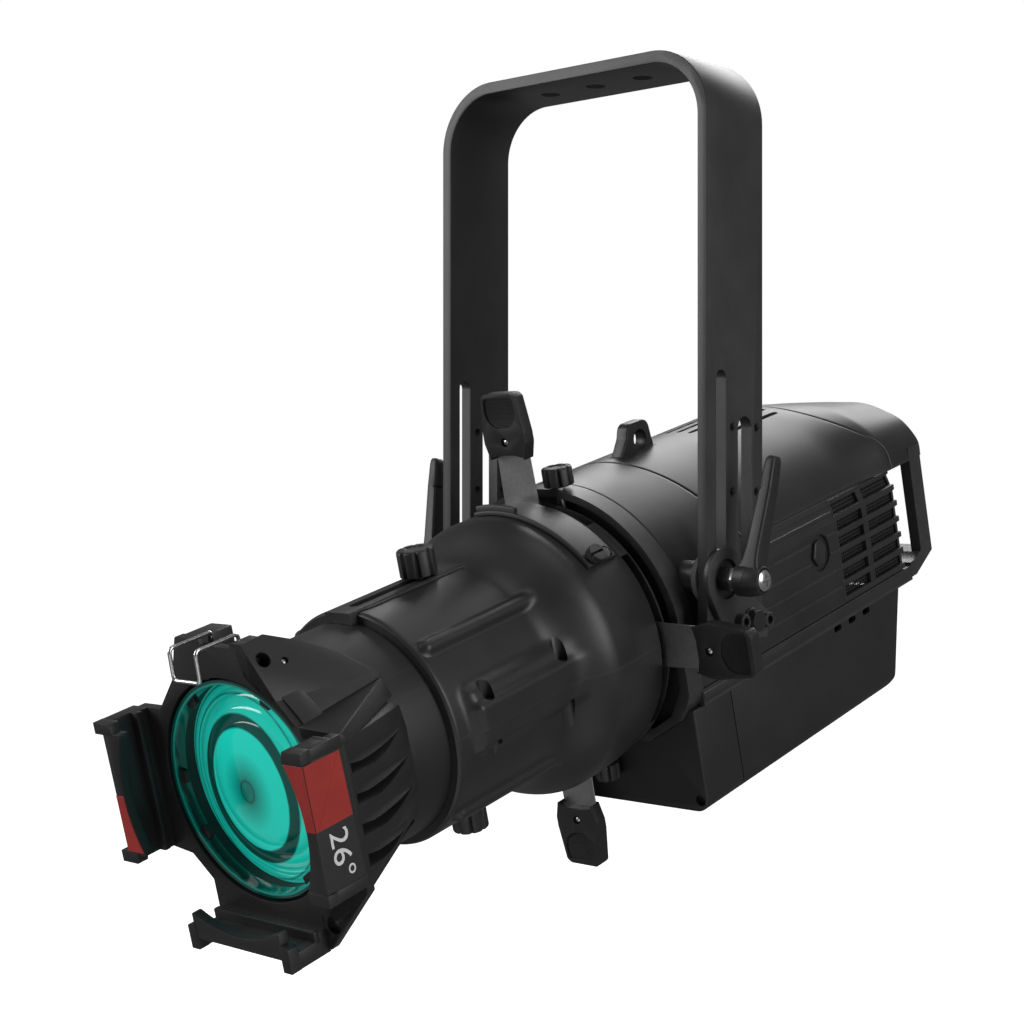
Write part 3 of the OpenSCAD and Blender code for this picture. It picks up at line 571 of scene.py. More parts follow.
def barrel_field(x, y, z, side):
    """Below zero inside the cast barrel. side is 1 for the upper half and -1 for the lower one."""
    ax = np.abs(x)
    d = np.hypot(x, z) - barrel_at(y)
    if side > 0:
        # the flange's lip, with a valley for the screws between it and the barrel
        d = smooth_join(d, round_box(ax - 72.0, y + 138.0, z - 4.0, 6.6, 52.0, 11.5, 3.4), 5.0)
        d = smooth_join(d, round_box(ax - 66.5, y + 141.0, z - 9.0, 7.0, 51.0, 15.0, 5.0), 6.0)
        return smooth_join(d, capsule(ax, y, z, 51.6, 49.8, -197.0, -108.0, 4.6), 2.6)
    d = smooth_join(d, round_box(ax - 68.5, y + 140.0, z - 2.0, 8.4, 52.0, 15.0, 4.5), 5.0)
    # the lower bead is a bar turned by 45 degrees
    across, out = (ax - 51.6) * 0.707, (z + 49.8) * 0.707
    return smooth_join(d, round_box(across - out, y + 139.0, across + out, 4.4, 60.0, 4.8, 4.2), 2.4)


def cast_half(name, side):
    """The outside follows barrel_field; the inside is the bore and the dome's hollow."""
    ys = np.concatenate([
        np.linspace(-206.0, -203.2, 6), np.linspace(-202.0, -84.0, 84), np.linspace(-82.0, RIM_Y, 40)])
    angles = np.linspace(0.0, math.pi, 261) if side > 0 else np.linspace(-math.pi, 0.0, 261)
    Y, angle = np.meshgrid(ys, angles, indexing="ij")
    cx, cz = np.cos(angle), np.sin(angle)
    lo, hi = np.full(Y.shape, 60.0), np.full(Y.shape, 110.0)
    for _ in range(30):
        mid = (lo + hi) / 2
        inside = barrel_field(mid * cx, Y, mid * cz, side) < 0
        lo, hi = np.where(inside, mid, lo), np.where(inside, hi, mid)
    chamfer = np.clip((-203.2 - Y) / 2.8, 0.0, 1.0)
    outer = (lo + hi) / 2 - 1.5 * chamfer ** 2
    swell = (barrel_at(Y) - WALL - BORE_R) * rise((Y + 100.0) / 18.0)
    inner = np.where(Y < -100.0, BORE_R, BORE_R + swell)
    return shell(name, *(np.stack([r * cx, Y, r * cz], axis=-1).tolist() for r in (outer, inner)))


# ---------------------------------------------------------------- shutters
# Each is built as the top one, about the beam axis, and turned into place: node, body, turn, the
# blade's y, where it sits off the axis, and how far it is pushed in.
SHUTTERS = [
    ("shutter_top", "top_shutter", 0.0, -33.0, (-8.0, 0.0), 0.0),
    ("shutter_right", "right_shutter", 90.0, -31.4, (0.0, -1.6), 4.0),
    ("shutter_bottom", "bottom_shutter", 180.0, -28.2, (-7.0, 0.0), 0.0),
    ("shutter_left", "left_shutter", 270.0, -29.8, (0.0, 1.6), 2.0),
]
RIVET_Z = 129.6


def shutter_placer(turn, offset, pushed):
    rot = Matrix.Rotation(math.radians(turn), 4, "Y")
    shift = Vector((offset[0], 0.0, offset[1]))
    return lambda v: in_head(shift + rot @ (Vector(v) - Vector((0.0, 0.0, pushed))))


def make_blade(node, body, y, place):
    outline = corner_points(
        [(-40, 30), (40, 30), (40, 64), (15, 68), (13.6, 124), (-13.6, 124), (-15, 68), (-40, 64)],
        [1.5, 1.5, 4, 6, 1.5, 1.5, 6, 4], 5)
    obj = prism(node + "_blade", outline, y - 0.4, y + 0.4, "xz", place)
    soften(obj, 0.16, 1)
    finish_mesh(obj, "blade_steel", body)
    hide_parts(node)


def make_grip(node, body, y, place):
    front, back = y - 6.6, y + 2.4
    outline = corner_points(
        [(-14.2, 118.2), (14.2, 118.2), (17.2, 129), (17.2, 135.5), (14.2, 158.6), (11.2, 161.2),
         (-11.2, 161.2), (-14.2, 158.6), (-17.2, 135.5), (-17.2, 129)],
        [0.8, 0.8, 3, 3, 2.5, 4, 4, 2.5, 3, 3], 5)
    obj = prism(node + "_handle", outline, front, back, "xz", place)
    # the mouth that the blade runs into, between two jaws
    mouth = corner_points([(-13.9, 110), (13.9, 110), (13.9, 119.6), (6, 121.2), (-6, 121.2), (-13.9, 119.6)],
                          [0, 0, 1.2, 6, 6, 1.2], 4)
    cut(obj, prism("c", mouth, front - 1, y - 0.5, "xz", place))
    slit = [(-13.75, 110), (13.75, 110), (13.75, 124.2), (-13.75, 124.2)]
    cut(obj, prism("c", slit, y - 0.55, y + 0.45, "xz", place))
    drill(obj, 0, 0, RIVET_Z, 3.0, "y", (front - 1, front + 2.2), place, 40)
    # the thumb pad's sunk floor, flat above and round below
    pad_x, pad_z, pad_drop = 12.8, 149.0, 10.6
    pad = [(-11.6, 158.2), (-12.6, 155.5)]
    pad += circle(pad_x, np.linspace(180, 360, 19), 0, pad_z, pad_drop)
    pad += [(12.6, 155.5), (11.6, 158.2)]
    pad = corner_points(pad, [2.5] + [0.5] * (len(pad) - 2) + [2.5], 4)
    cut(obj, prism("c", pad, front - 1, front + 1.0, "xz", place))
    clean(obj)
    soften(obj, 0.55, 3, 40)
    # fine ribs on the pad
    ribs = []
    z = 139.6
    while z < 157.4:
        low = max(0.0, pad_z - z)
        half = 12.1 * math.sqrt(max(0.0, 1.0 - (low / pad_drop) ** 2)) - 0.2 if low > 0 else 12.3
        if z > 155.6:
            half = 11.4
        if half > 1.5:
            tip = [(front + 1.05, z - 0.3), (front + 0.45, z), (front + 1.05, z + 0.3)]
            ribs.append(prism("r", tip, -half, half, "yz", place))
        z += 1.05
    merge(obj, *ribs)
    finish_mesh(obj, "plastic_black", body)
    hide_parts(node + "_grip")
    # the domed rivet in its recess
    dome = circle(2.1, np.linspace(90, 0, 9), 0.0, 0.0, 1.5)
    prof = [(0.0, front + 0.6)] + [(r, front + 2.1 - h) for r, h in dome] + [(2.1, y - 0.5), (0.0, y - 0.5)]
    rivet = lathe(node + "_rivet", prof, place, 40, (0, 0, RIVET_Z))
    finish_mesh(rivet, "steel", body)


for node, body, turn, y, offset, pushed in SHUTTERS:
    place = shutter_placer(turn, offset, pushed)
    make_blade(node, body, y, place)
    make_grip(node, body, y, place)


# ---------------------------------------------------------------- knobs
def make_knob(node, body, centre, up, height, r, base_r, shank_r, shank_end):
    """A fluted knob: eight broad lobes with deep round flutes, a rolled rim and a dished top."""
    cx, cy, cz = centre
    turns = [2 * math.pi * i / 192 for i in range(192)]
    rings = []
    # height, growth of the radius, and depth of the flutes
    for h, grown, depth in ((0.0, -0.6, 1.0), (0.5, 0.0, 1.0), (height - 1.6, 0.0, 1.0),
                            (height - 0.7, -0.35, 1.0), (height - 0.15, -1.1, 0.9), (height, -2.1, 0.7)):
        rings.append([])
        for t in turns:
            rad = r + grown - 1.7 * max(0.0, math.cos(8 * t)) ** 3 * depth
            rings[-1].append((cx + rad * math.cos(t), cy + rad * math.sin(t), cz + up * h))
    for rad, h in ((r * 0.62, height), (r * 0.56, height - 0.7), (r * 0.3, height - 0.9)):
        rings.append([])
        for t in turns:
            lobed = rad * (1.0 + 0.06 * math.cos(8 * t))
            rings[-1].append((cx + lobed * math.cos(t), cy + lobed * math.sin(t), cz + up * h))
    obj = loft(node + "_cap", rings)
    # radial marks moulded in the top, and the collar and shank below
    extra = []
    for i in range(8):
        a, b = (polar(r * k, 45 * (i + 0.5), cx, cy) + (cz + up * (height - drop),)
                for k, drop in ((0.66, 0.25), (0.84, 0.35)))
        extra.append(rod("e", a, b, 0.45, in_head, 10))
    extra.append(rod("e", (cx, cy, cz - up * 0.9), (cx, cy, cz + up * 0.4), base_r, in_head, 64))
    merge(obj, *extra)
    finish_mesh(obj, "plastic_black", body, 40)
    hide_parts(node)
    shank = rod(node + "_shank", (cx, cy, cz - up * 0.6), (cx, cy, shank_end), shank_r, in_head, 40)
    finish_mesh(shank, "steel", body)


make_knob("focus_knob", "focus_lock", (0, -142, 74.2), 1, 16.4, 11.6, 6.5, 2.5, 60.5)
make_knob("lower_focus_knob", "lower_focus_lock", (0, -138, -74.2), -1, 16.0, 11.4, 6.5, 2.5, -60.5)
make_knob("rotation_lock_knob", "rotation_knob", (13, -18.5, 96.3), 1, 12.4, 10.0, 5.5, 2.9, 73.0)
make_knob("gate_lock_knob", "gate_knob", (20, -26.2, -88.6), -1, 11.2, 8.4, 4.5, 0.65, -83.0)


# ---------------------------------------------------------------- tilt levers
LEVER_LEAN = math.radians(-24.0)
# the arm's sections from the hub to the tip: height, inner x, outer x and half width
LEVER_SECTIONS = [
    (0.0, 128.0, 143.0, 6.0), (7.0, 128.3, 142.6, 7.2), (12.0, 130.6, 141.6, 6.9), (20.0, 132.6, 142.0, 6.6),
    (54.4, 136.9, 145.4, 5.4), (55.0, 137.0, 145.4, 5.4), (55.3, 138.2, 145.5, 5.4),
    (56.6, 138.3, 145.6, 5.4), (56.9, 137.3, 145.6, 5.35), (72.0, 139.0, 146.3, 4.9),
    (75.0, 139.8, 146.2, 4.5), (76.4, 141.2, 145.4, 3.6)]
HUB_PROFILE = [
    (3.0, 126.4), (9.4, 126.4), (10.2, 127.0), (10.3, 127.8), (10.35, 134.4), (10.05, 134.6), (10.05, 134.9),
    (10.3, 135.1), (9.9, 138.0), (8.7, 143.6), (8.3, 144.3), (7.7, 144.5), (7.3, 144.2), (7.2, 141.6),
    (3.0, 141.6)]
LEVER_SCREW_PROFILE = [(0.0, 146.2), (3.0, 146.1), (5.2, 145.6), (6.5, 144.6), (6.8, 143.6), (6.8, 141.7),
                       (0.0, 141.7)]


def make_lever(node, body, side):
    turn = Matrix.Translation(HEAD_PIVOT / MM) @ Matrix.Rotation(LEVER_LEAN, 4, "X")

    def place(v):
        return in_head(turn @ Vector((v[0] * side, v[1], v[2])))

    rings = []
    for h, x0, x1, half in LEVER_SECTIONS:
        outline = [(x0, -half), (x1, -half), (x1, half), (x0, half)]
        rings.append([(a, b, h) for a, b in corner_points(outline, min(1.8, (x1 - x0) * 0.3), 4)])
    arm = loft(node + "_arm", rings, place)
    boolean(arm, [lathe("hub", HUB_PROFILE, place, 96, axis="X")], "UNION")
    finish_mesh(arm, "plastic_black", body, 34)
    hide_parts(node)
    # the chrome hexagon between the plate and the hub, and the jam nut below it
    hexagon = circle(8.1, range(10, 370, 60))
    for piece, mat, lo, hi in (("_insert", "steel", 120.6, 126.6), ("_jam_nut", "black_steel", 114.2, 120.4)):
        nut = prism(node + piece, hexagon, lo, hi, "yz", place)
        drill(nut, 0, 0, 0, 5.1, "x", (lo - 1.4, hi + 1.5), place, 40)
        soften(nut, 0.4, 2)
        finish_mesh(nut, mat, body)
    # the retaining screw, with its cross
    screw = lathe(node + "_screw", LEVER_SCREW_PROFILE, place, 64, axis="X")
    for a in (20, 110):
        rot = Matrix.Rotation(math.radians(a), 4, "X")
        cut(screw, block("c", (144.6, -0.75, -3.9), (148, 0.75, 3.9), lambda v: place(rot @ Vector(v))))
    finish_mesh(screw, "steel", body)


make_lever("lever_right", "right_lever", 1)
make_lever("lever_left", "left_lever", -1)


# ---------------------------------------------------------------- barrel castings, screws and rim
def focus_slot(rear):
    """The lock knob's slot, from y = -196.5 back to rear."""
    half_turn = np.linspace(0, 180, 13)
    return circle(3.5, half_turn, 0, rear) + circle(3.5, half_turn + 180, 0, -196.5)


# the upper half carries the flat strip with the knob's slot, and the thin rails beside it
upper = cast_half("barrel_upper_half_casting", 1)
flat = corner_points([(-10.3, 62), (10.3, 62), (10.3, 71.6), (9.8, 72.6), (-9.8, 72.6), (-10.3, 71.6)], 0.2, 2)
strip = prism("p", flat, -211.5, -84.0, "xz")
drill(strip, 0, 0, 0, 66.3, "y", (-220, -80), in_head, 128)
boolean(upper, [strip], "UNION")
rails = []
for s in (-1, 1):
    for k in range(4):
        x = s * (10.3 + 0.55 * k)
        z = math.sqrt(72.35 ** 2 - x * x) + 0.1 - 0.02 * k
        rails.append(rod("r", (x, -205.0 + 3 * k, z), (x, -108.0 + 2 * k, z), 0.32, in_head, 10))
cut(upper, prism("c", [(-10, -64), (24, -64), (24, -52), (-10, -52)], 80, 96, "xy"))
cut(upper, prism("c", focus_slot(-133.5), 60, 80, "xy"))
lower = cast_half("barrel_lower_half_casting", -1)
cut(lower, prism("c", focus_slot(-127.5), -80, -60, "xy"))
for s in (-1, 1):
    for y in BARREL_SCREW_YS:
        drill(upper, s * BARREL_SCREW_X, y, 0, 4.5, "z", (11.0, 40), in_head, 48)
        drill(lower, s * BARREL_SCREW_X, y, 0, 4.4, "z", (-9.0, -40), in_head, 48, 4.6)
merge(upper, *rails)
finish_mesh(upper, "cast_black", "barrel", 34)
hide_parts("barrel_upper_half")
finish_mesh(lower, "cast_black", "barrel", 34)
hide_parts("barrel_lower_half")

SCREW_PROFILE = [(0.0, 14.6), (3.4, 14.5), (4.1, 14.0), (4.2, 13.2), (4.2, 11.1), (2.5, 11.0), (2.5, -8.0),
                 (0.0, -8.0)]
for s, tag in SIDES[::-1]:
    for y, end in zip(BARREL_SCREW_YS, ("front", "rear")):
        centre = (s * BARREL_SCREW_X, y, 0)
        head = lathe("barrel_screw_%s_%s" % (tag, end), SCREW_PROFILE, in_head, 48, centre, "Z")
        for a in (30, 120):
            rot = Matrix.Translation(centre) @ Matrix.Rotation(math.radians(a), 4, "Z")
            cut(head, block("c", (-0.55, -2.5, 12.8), (0.55, 2.5, 16), lambda v: in_head(rot @ Vector(v))))
        finish_mesh(head, "black_steel", "barrel")
        if (tag, end) == ("right", "front"):
            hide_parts("barrel_screws")

# the rear rim that closes the dome between the shutter openings
RIM_PROFILE = [(84.6, -34.7), (87.0, -34.7), (86.85, -31.0), (86.6, -27.2), (84.6, -27.2)]
RIM_HALF = 9.8
for i, mid in enumerate((49.5, 130.5, 229.5, 310.5)):
    rings = []
    for a in np.linspace(mid - RIM_HALF, mid + RIM_HALF, 25):
        ends = [polar(r, a) for r, _ in RIM_PROFILE]
        rings.append([(x, y, z) for (x, z), (_, y) in zip(ends, RIM_PROFILE)])
    finish_mesh(loft("rim_bridge_%d" % (i + 1), rings), "cast_black", "barrel")


# ---------------------------------------------------------------- colour frame holder
FRONT, BACK = -327.7, -300.3
OUT = 86.1
TUBE_R = 66.05


def turned(angle, shift=(0, 0, 0)):
    """Places a point drawn for the right-hand channel at one of the other sides."""
    rot = Matrix.Rotation(math.radians(angle), 4, "Y")
    return lambda v: in_head(rot @ Vector(v) + Vector(shift))


def round_edge(inset, z):
    """How far out the front flange's round inner edge lies at height z."""
    return math.sqrt(79.0 ** 2 - z * z) - inset


def channel(place, inset, half=41.6):
    """Front flange with a round inner edge, outer wall, inner rib and the two end pieces."""
    o = OUT - inset
    reach = half - 7.0
    parts = []

    def box(x0, x1, z0, z1, y0, y1):
        parts.append(prism("b", [(x0, z0), (x1, z0), (x1, z1), (x0, z1)], y0, y1, "xz", place))

    def add_part(outline, radius, steps, y0, y1):
        parts.append(prism("p", corner_points(outline, radius, steps), y0, y1, "xz", place))

    inner = [(round_edge(inset, z), z) for z in np.linspace(-reach, reach, 25)]
    flange = [(o, reach + 1.5), (o, -reach - 1.5), (inner[0][0], -reach - 1.5)] + inner
    flange.append((inner[-1][0], reach + 1.5))
    parts.append(prism("f", flange, FRONT, -321.4, "xz", place))
    box(o - 2.8, o, -half + 1, half - 1, FRONT + 0.4, BACK + 1)
    x = 72.4 - inset * 0.2
    add_part([(x, -half), (o - 1, -half), (o - 1, half), (x, half)], [1.2, 0, 0, 1.2], 4, -309.0, -305.4)
    box(o - 7, o - 0.2, -half, half, -306.0, BACK + 1)
    # the outer end of each end piece reaches further in than the inner one
    for lo, hi, x_lo, x_hi in ((-half, -half + 6.8, 72.2, 70.2), (half - 6.8, half, 70.2, 72.6)):
        add_part([(x_lo, lo), (OUT + 0.15, lo), (OUT + 0.15, hi), (x_hi, hi)], [0.8, 0.3, 0.3, 0.8], 3,
                 FRONT - 0.25, -321.0)
        box(o - 3.0, OUT + 0.1, lo + 0.06, hi - 0.06, -321.6, BACK + 1)
        if inset == 0.0:
            grow = 0.4 if lo > 0 else 0.3
            box(72.8, o - 1, lo + grow, hi - (0.7 - grow), -322.0, -307.0)
    for p in parts:
        soften(p, 0.45, 2, 30)
    return parts


plate_line = corner_points(
    [(-82, -42), (-58.8, -44.8), (-44.4, -58.4), (-44.6, -84.8), (46.2, -84.8), (84, -46), (84, 41.6),
     (53.9, 42.4), (41.9, 55), (22.1, 84.9), (12.6, 85.2), (12.2, 82.4), (-12.2, 82.4), (-12.6, 86.2),
     (-33, 86.2), (-43.4, 60.3), (-60.3, 41.8), (-82, 41.6)],
    [1, 2, 2, 1, 1, 1, 1, 1, 0.5, 1, 1, 0.8, 0.8, 0.8, 2, 3, 3, 1], 3)
holder = prism("colour_frame_holder_casting", plate_line, BACK, -294.8, "xz")
drill(holder, 0, 0, 0, 64.7, "y", (-330, -280), in_head, 200)
clean(holder)
soften(holder, 0.7, 3, 30)

# the tapered skirt with its four sunk pockets
skirt = hull("skirt", [
    (60, BACK, -41.6), (84.9, BACK, -41.6), (84.9, BACK, 36), (60, BACK, 36), (84.9, -297, -41.6),
    (84.9, -297, 36), (58, -232, -33), (66.5, -236, -4), (66.4, -236, 8), (59.5, -232, 30), (64.2, -234, 19),
    (64.4, -234, -16), (52, -236, 36), (50, -236, -40)])
for i in range(4):
    z = 8.0 - 17.0 * i
    edge = [(-296.2, z + 18), (-296.2, z + 10.0), (-271.5, z + 6.5)]
    a, b, c = Vector((-270.5, z + 6.7)), Vector((-256, z + 7.0)), Vector((-238, z + 13.8))
    for t in np.linspace(0, 1, 9).tolist():
        edge.append(tuple(a * (1 - t) ** 2 + b * 2 * t * (1 - t) + c * t * t))
    cut(skirt, prism("p", edge, 66.9, 100, "yz"))
clean(skirt)
soften(skirt, 0.35, 2, 25)
rim = hull("rim", [
    (56, BACK, 42.4), (84.9, BACK, 41.7), (86.3, BACK, 41.0), (86.3, BACK, 35.6), (56, BACK, 35.6),
    (86.3, -298.7, 41.7), (86.3, -293.1, 35.8), (49.9, -232.8, 45.1), (57.2, -232.8, 35.9), (47, -233, 42),
    (50, -233, 35)])
soften(rim, 0.5, 2, 25)
# the wire guard's facets share these corners with the wedge beside it
EDGE_TOP, EDGE_FOOT, WEDGE_REAR = (41.9, BACK, 55.0), (53.9, BACK, 42.4), (47.6, -231.6, 48.0)
guard = hull("guard", [
    (22.1, BACK, 84.9), (22.0, -284.3, 85.7), (27.8, -264.7, 76.1), (36.1, -245.8, 63.4), EDGE_TOP,
    WEDGE_REAR, (16, BACK, 80), (16, -284, 80), (20, BACK, 66), (20, -270, 66), (38, -238, 54),
    (40, -250, 50), (44, BACK, 47)])
wedge = hull("wedge", [
    EDGE_TOP, EDGE_FOOT, WEDGE_REAR, (49.5, -233.0, 45.3), (46, -235, 46), (43, BACK, 44), (40, BACK, 50),
    (50, BACK, 41)])
foot = hull("foot", [
    (46.2, BACK, -84.8), (43, BACK, -84.8), (43, BACK, -66), (84.6, BACK, -46.2), (84.6, BACK, -40),
    (60, BACK, -40), (45.9, -233.5, -47.4), (55.5, -232.0, -37.5), (44, -233, -46), (50, -233, -38),
    (80, -296, -41)])
for piece, width in ((guard, 0.4), (wedge, 0.4), (foot, 0.6)):
    soften(piece, width, 2, 20)
lugs = []
for outline, radii, rear in (([(-32.6, 62), (-12.8, 62), (-12.8, 86.2), (-31.6, 86.2)], [0, 0, 0.8, 2], -276),
                             ([(12.8, 62), (22, 62), (22, 84.8), (12.8, 85.2)], [0, 0, 0.8, 0.8], -286)):
    lugs.append(soften(prism("lug", corner_points(outline, radii, 3), -299, rear, "xz"), 0.6, 2, 30))
collar = lathe("collar", corner_points([(TUBE_R, -296.0), (69.6, -296.0), (69.6, -281.5), (TUBE_R, -281.5)],
                                       0.6, 3), in_head, 160)
for piece in (skirt, rim, guard, wedge, foot):
    drill(piece, 0, 0, 0, TUBE_R, "y", (-330, -225), in_head, 160)
# two holes drilled square to the guard's large facet
FACET = Vector((0.834, -0.013, 0.552))
BIG_HOLE, SMALL_HOLE = Vector((29.0, -292.9, 74.6)), Vector((31.9, -280.8, 70.6))
for piece in (guard, holder):
    cut(piece, rod("c", BIG_HOLE - FACET * 9, BIG_HOLE + FACET * 9, 4.4, in_head, 40))
cut(guard, rod("c", SMALL_HOLE - FACET * 5, SMALL_HOLE + FACET * 5, 2.1, in_head, 24))
for piece in (foot, holder):
    drill(piece, 51.9, 0, -69.9, 5.1, "y", (-310, -226), in_head, 40)
merge(holder, skirt, rim, guard, wedge, foot, *lugs, collar,
      *channel(turned(0), 0.0), *channel(turned(90, (3.0, 0, 0)), 6.5), *channel(turned(180), 6.5))
finish_mesh(holder, "plastic_black", "lens_carriage", 28)
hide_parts("colour_frame_holder")

# a bright pin in the small hole
pin = rod("guard_pin", SMALL_HOLE - FACET * 5.4, SMALL_HOLE - FACET * 1.2, 1.5, in_head, 24)
soften(pin, 0.4, 2)
finish_mesh(pin, "steel", "lens_carriage")

# the label on the right-hand channel: a thin moulded tab, red above and black below
tab_outline = [(-327.55, -34.4), (-300.6, -34.4), (-302.6, 34.6), (-327.55, 34.6)]
tab = prism("label_tab", corner_points(tab_outline, 0.8, 3), 85.6, 86.42, "yz")
soften(tab, 0.2, 2)
finish_mesh(tab, "label_black", "lens_carriage")
red_outline = [(-327.35, -0.9), (-301.75, -0.9), (-302.7, 34.4), (-327.35, 34.4)]
red = prism("label_red", red_outline, 86.3, 86.56, "yz")
cut(red, prism("c", [(-326.9, -1.6), (-326.4, -1.6), (-303.0, 35), (-303.5, 35)], 86.48, 87.2, "yz"))
finish_mesh(red, "label_red", "lens_carriage")
# the red strips on the front edges of the right-hand and left-hand channels
for name, angle, inset, low in (("label_front_red", 0, 0.0, -0.9), ("label_left_red", 180, 6.5, 1.2)):
    edge = OUT - inset - 0.1
    outline = [(edge, low), (edge, 34.4)]
    outline += [(round_edge(inset, z) + 0.25, z) for z in np.linspace(34.4, low, 13)]
    strip = prism(name, outline, FRONT - 0.22, FRONT + 0.2, "xz", turned(angle))
    soften(strip, 0.08, 1)
    finish_mesh(strip, "label_red", "lens_carriage")

# the beam angle, moulded proud of the tab and reading down the side
text = bpy.data.curves.new("beam_angle", "FONT")
text.body = "26°"
text.size = 0.0168
text.extrude = 0.00012
text.align_x = text.align_y = "CENTER"
drawn = bpy.data.objects.new("beam_angle_temp", text)
scene.collection.objects.link(drawn)
bpy.context.view_layer.update()
mesh = bpy.data.meshes.new_from_object(drawn.evaluated_get(bpy.context.evaluated_depsgraph_get()))
bpy.data.objects.remove(drawn)
bpy.data.curves.remove(text)
# text x runs down the tab (-z in the head's frame) and text y runs towards the rear
for v in mesh.vertices:
    a, b, h = v.co / MM
    v.co = in_head((86.5 + h, -314.2 + b * 1.05, -17.5 - a * 1.18))
finish_mesh(linked("beam_angle_digits", mesh), "label_white", "lens_carriage")

# the wire clip over the top of the slot
right_half = [(18, -292, 82), (11, -292, 82), (11, -292, 87.6), (11, -321.3, 87.6), (11, -322.0, 70.2)]
clip = wire("holder_clip_wire", right_half + [(-x, y, z) for x, y, z in right_half[::-1]], 1.15, 3.2)
finish_mesh(clip, "wire", "frame_clip", 60)
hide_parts("holder_clip")


# ---------------------------------------------------------------- lens, its ring and the tube
# the front lens bulges towards the front, with shallow moulded steps near its rim
LENS_R, BULGE, FLAT = 60.0, 9.0, -281.2
LENS_RIM = 3.0
LENS_RADII = [60.0, 59.2, 58.6, 58.0, 55.2, 54.8, 54.4, 51.8, 51.4, 51.0, 48, 44.6, 44.2, 43.8, 40, 36.4,
              36.0, 35.6, 30, 25, 20, 15, 10, 5, 0.0]
LENS_STEPS = (58.6, 54.8, 51.4, 44.2, 36.0)
sphere_r = (LENS_R ** 2 + BULGE ** 2) / (2 * BULGE)
prof = []
for r in LENS_RADII:
    y = FLAT - LENS_RIM - (math.sqrt(sphere_r ** 2 - r * r) - (sphere_r - BULGE))
    prof.append((r, y + (0.25 if r in LENS_STEPS else 0.0)))
lens = lathe("front_lens_glass", prof + [(0.0, FLAT), (LENS_R, FLAT)], in_head, 192)
finish_mesh(lens, "front_glass", "lens_carriage", 60)
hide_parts("front_lens")

# the retainer: a stepped ring with tabs and groups of small notches inside the holder
ring = lathe("lens_retainer_ring", [
    (63.0, -281.2), (63.0, -297.5), (62.3, -298.2), (61.4, -298.2), (61.0, -296.4), (60.7, -291.6),
    (60.3, -291.0), (60.2, -281.2)], in_head, 192)
notches = []
for x, z in (polar(60.9, a) for a in range(0, 360, 6) if (a // 30) % 2 == 0):
    notches.append(rod("n", (x, -299.5, z), (x, -294.5, z), 0.9, in_head, 10))
cut(ring, *notches)
tab_outline = corner_points([(55.4, -3.6), (61.5, -4.6), (61.5, 4.6), (55.4, 3.6)], [1.2, 0, 0, 1.2], 3)
merge(ring, *(soften(prism("t", tab_outline, -296.5, -293.4, "xz", turned(-a)), 0.35, 2, 30)
              for a in (62, 128, 180, 214, 305, 345)))
finish_mesh(ring, "plastic_black", "lens_carriage")
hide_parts("lens_retainer")

# the lens's moulded flange shows between the retainer's tabs
flange = lathe("front_lens_flange", [
    (60.1, -298.3), (62.2, -298.9), (62.9, -298.9), (62.9, -298.3), (60.9, -297.8), (60.1, -291.2),
    (59.4, -291.2)], in_head, 192)
# its material paints a faint glow and a dark ring on the flange
finish_mesh(flange, "flange_painted_glow", "lens_carriage", 60)

# the sliding tube
tube_prof = corner_points([(63.1, -295.6), (66.0, -295.6), (66.0, -114.0), (63.1, -114.0)], 0.5, 3)
tube = lathe("lens_tube_shell", tube_prof, in_head, 192)
for z, y in ((70, -142.0), (-70, -138.0)):
    drill(tube, 0, y, 0, 2.6, "z", (z - 12, z + 12))
finish_mesh(tube, "plastic_black", "lens_carriage")
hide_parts("lens_tube")

# ---------------------------------------------------------------- yoke
LEG_OUT, BAR, BEND = 112.5, 8.0, 44.0
LEG_IN = LEG_OUT - BAR
SLOT_Y, WIDE_Y = -15.7, 10.0
PIVOT_Z = -330.4
HOLE_ROWS = (-236.6, -276.9, -317.2, -357.5)
HOLE_COLS = (-2.9, 23.5)
SCREW_ROW = HOLE_ROWS[3]


def stadium(y, half, top, low):
    return corner_points([(y - half, low), (y + half, low), (y + half, top), (y - half, top)], half * 0.98, 8)


outer = corner_points([(-LEG_OUT, -378), (-LEG_OUT, 0), (LEG_OUT, 0), (LEG_OUT, -378)],
                      [0, BEND, BEND, 0], 18)
inner = corner_points([(LEG_IN, -380), (LEG_IN, -BAR), (-LEG_IN, -BAR), (-LEG_IN, -380)],
                      [0, BEND - BAR, BEND - BAR, 0], 18)
yoke = prism("yoke_bar", outer, -30, 30, "xz", in_row)
cut(yoke, prism("c", inner, -31, 31, "xz", in_row))
leg_outline = corner_points([(-30, -378), (30, -378), (30, 5), (-30, 5)], [12, 12, 0, 0], 10)
boolean(yoke, [prism("c", leg_outline, -120, 120, "yz", in_row)], "INTERSECT")
clean(yoke)
soften(yoke, 0.9, 3, 40)
for x in (-39.3, 0.0, 39.3):
    drill(yoke, x, 0, 0, 6.5, "z", (-12, 4), in_row, 64)
for s in (-1, 1):
    lo, hi = span(s, 100, 116)
    cut(yoke, prism("c", stadium(SLOT_Y, 5.3, -201.2, -342), lo, hi, "yz", in_row))
    cut(yoke, prism("c", stadium(WIDE_Y, 7.5, -229.5, -366), lo, hi, "yz", in_row))
    for z in HOLE_ROWS:
        for y in HOLE_COLS:
            cut(yoke, rod("c", (s * 100, y, z), (s * 116, y, z), 2.6, in_row, 24),
                rod("c", (s * 111.7, y, z), (s * 113.4, y, z), 2.6, in_row, 24, 4.0))
finish_mesh(yoke, "yoke_paint", "yoke", 28)
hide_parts("yoke")

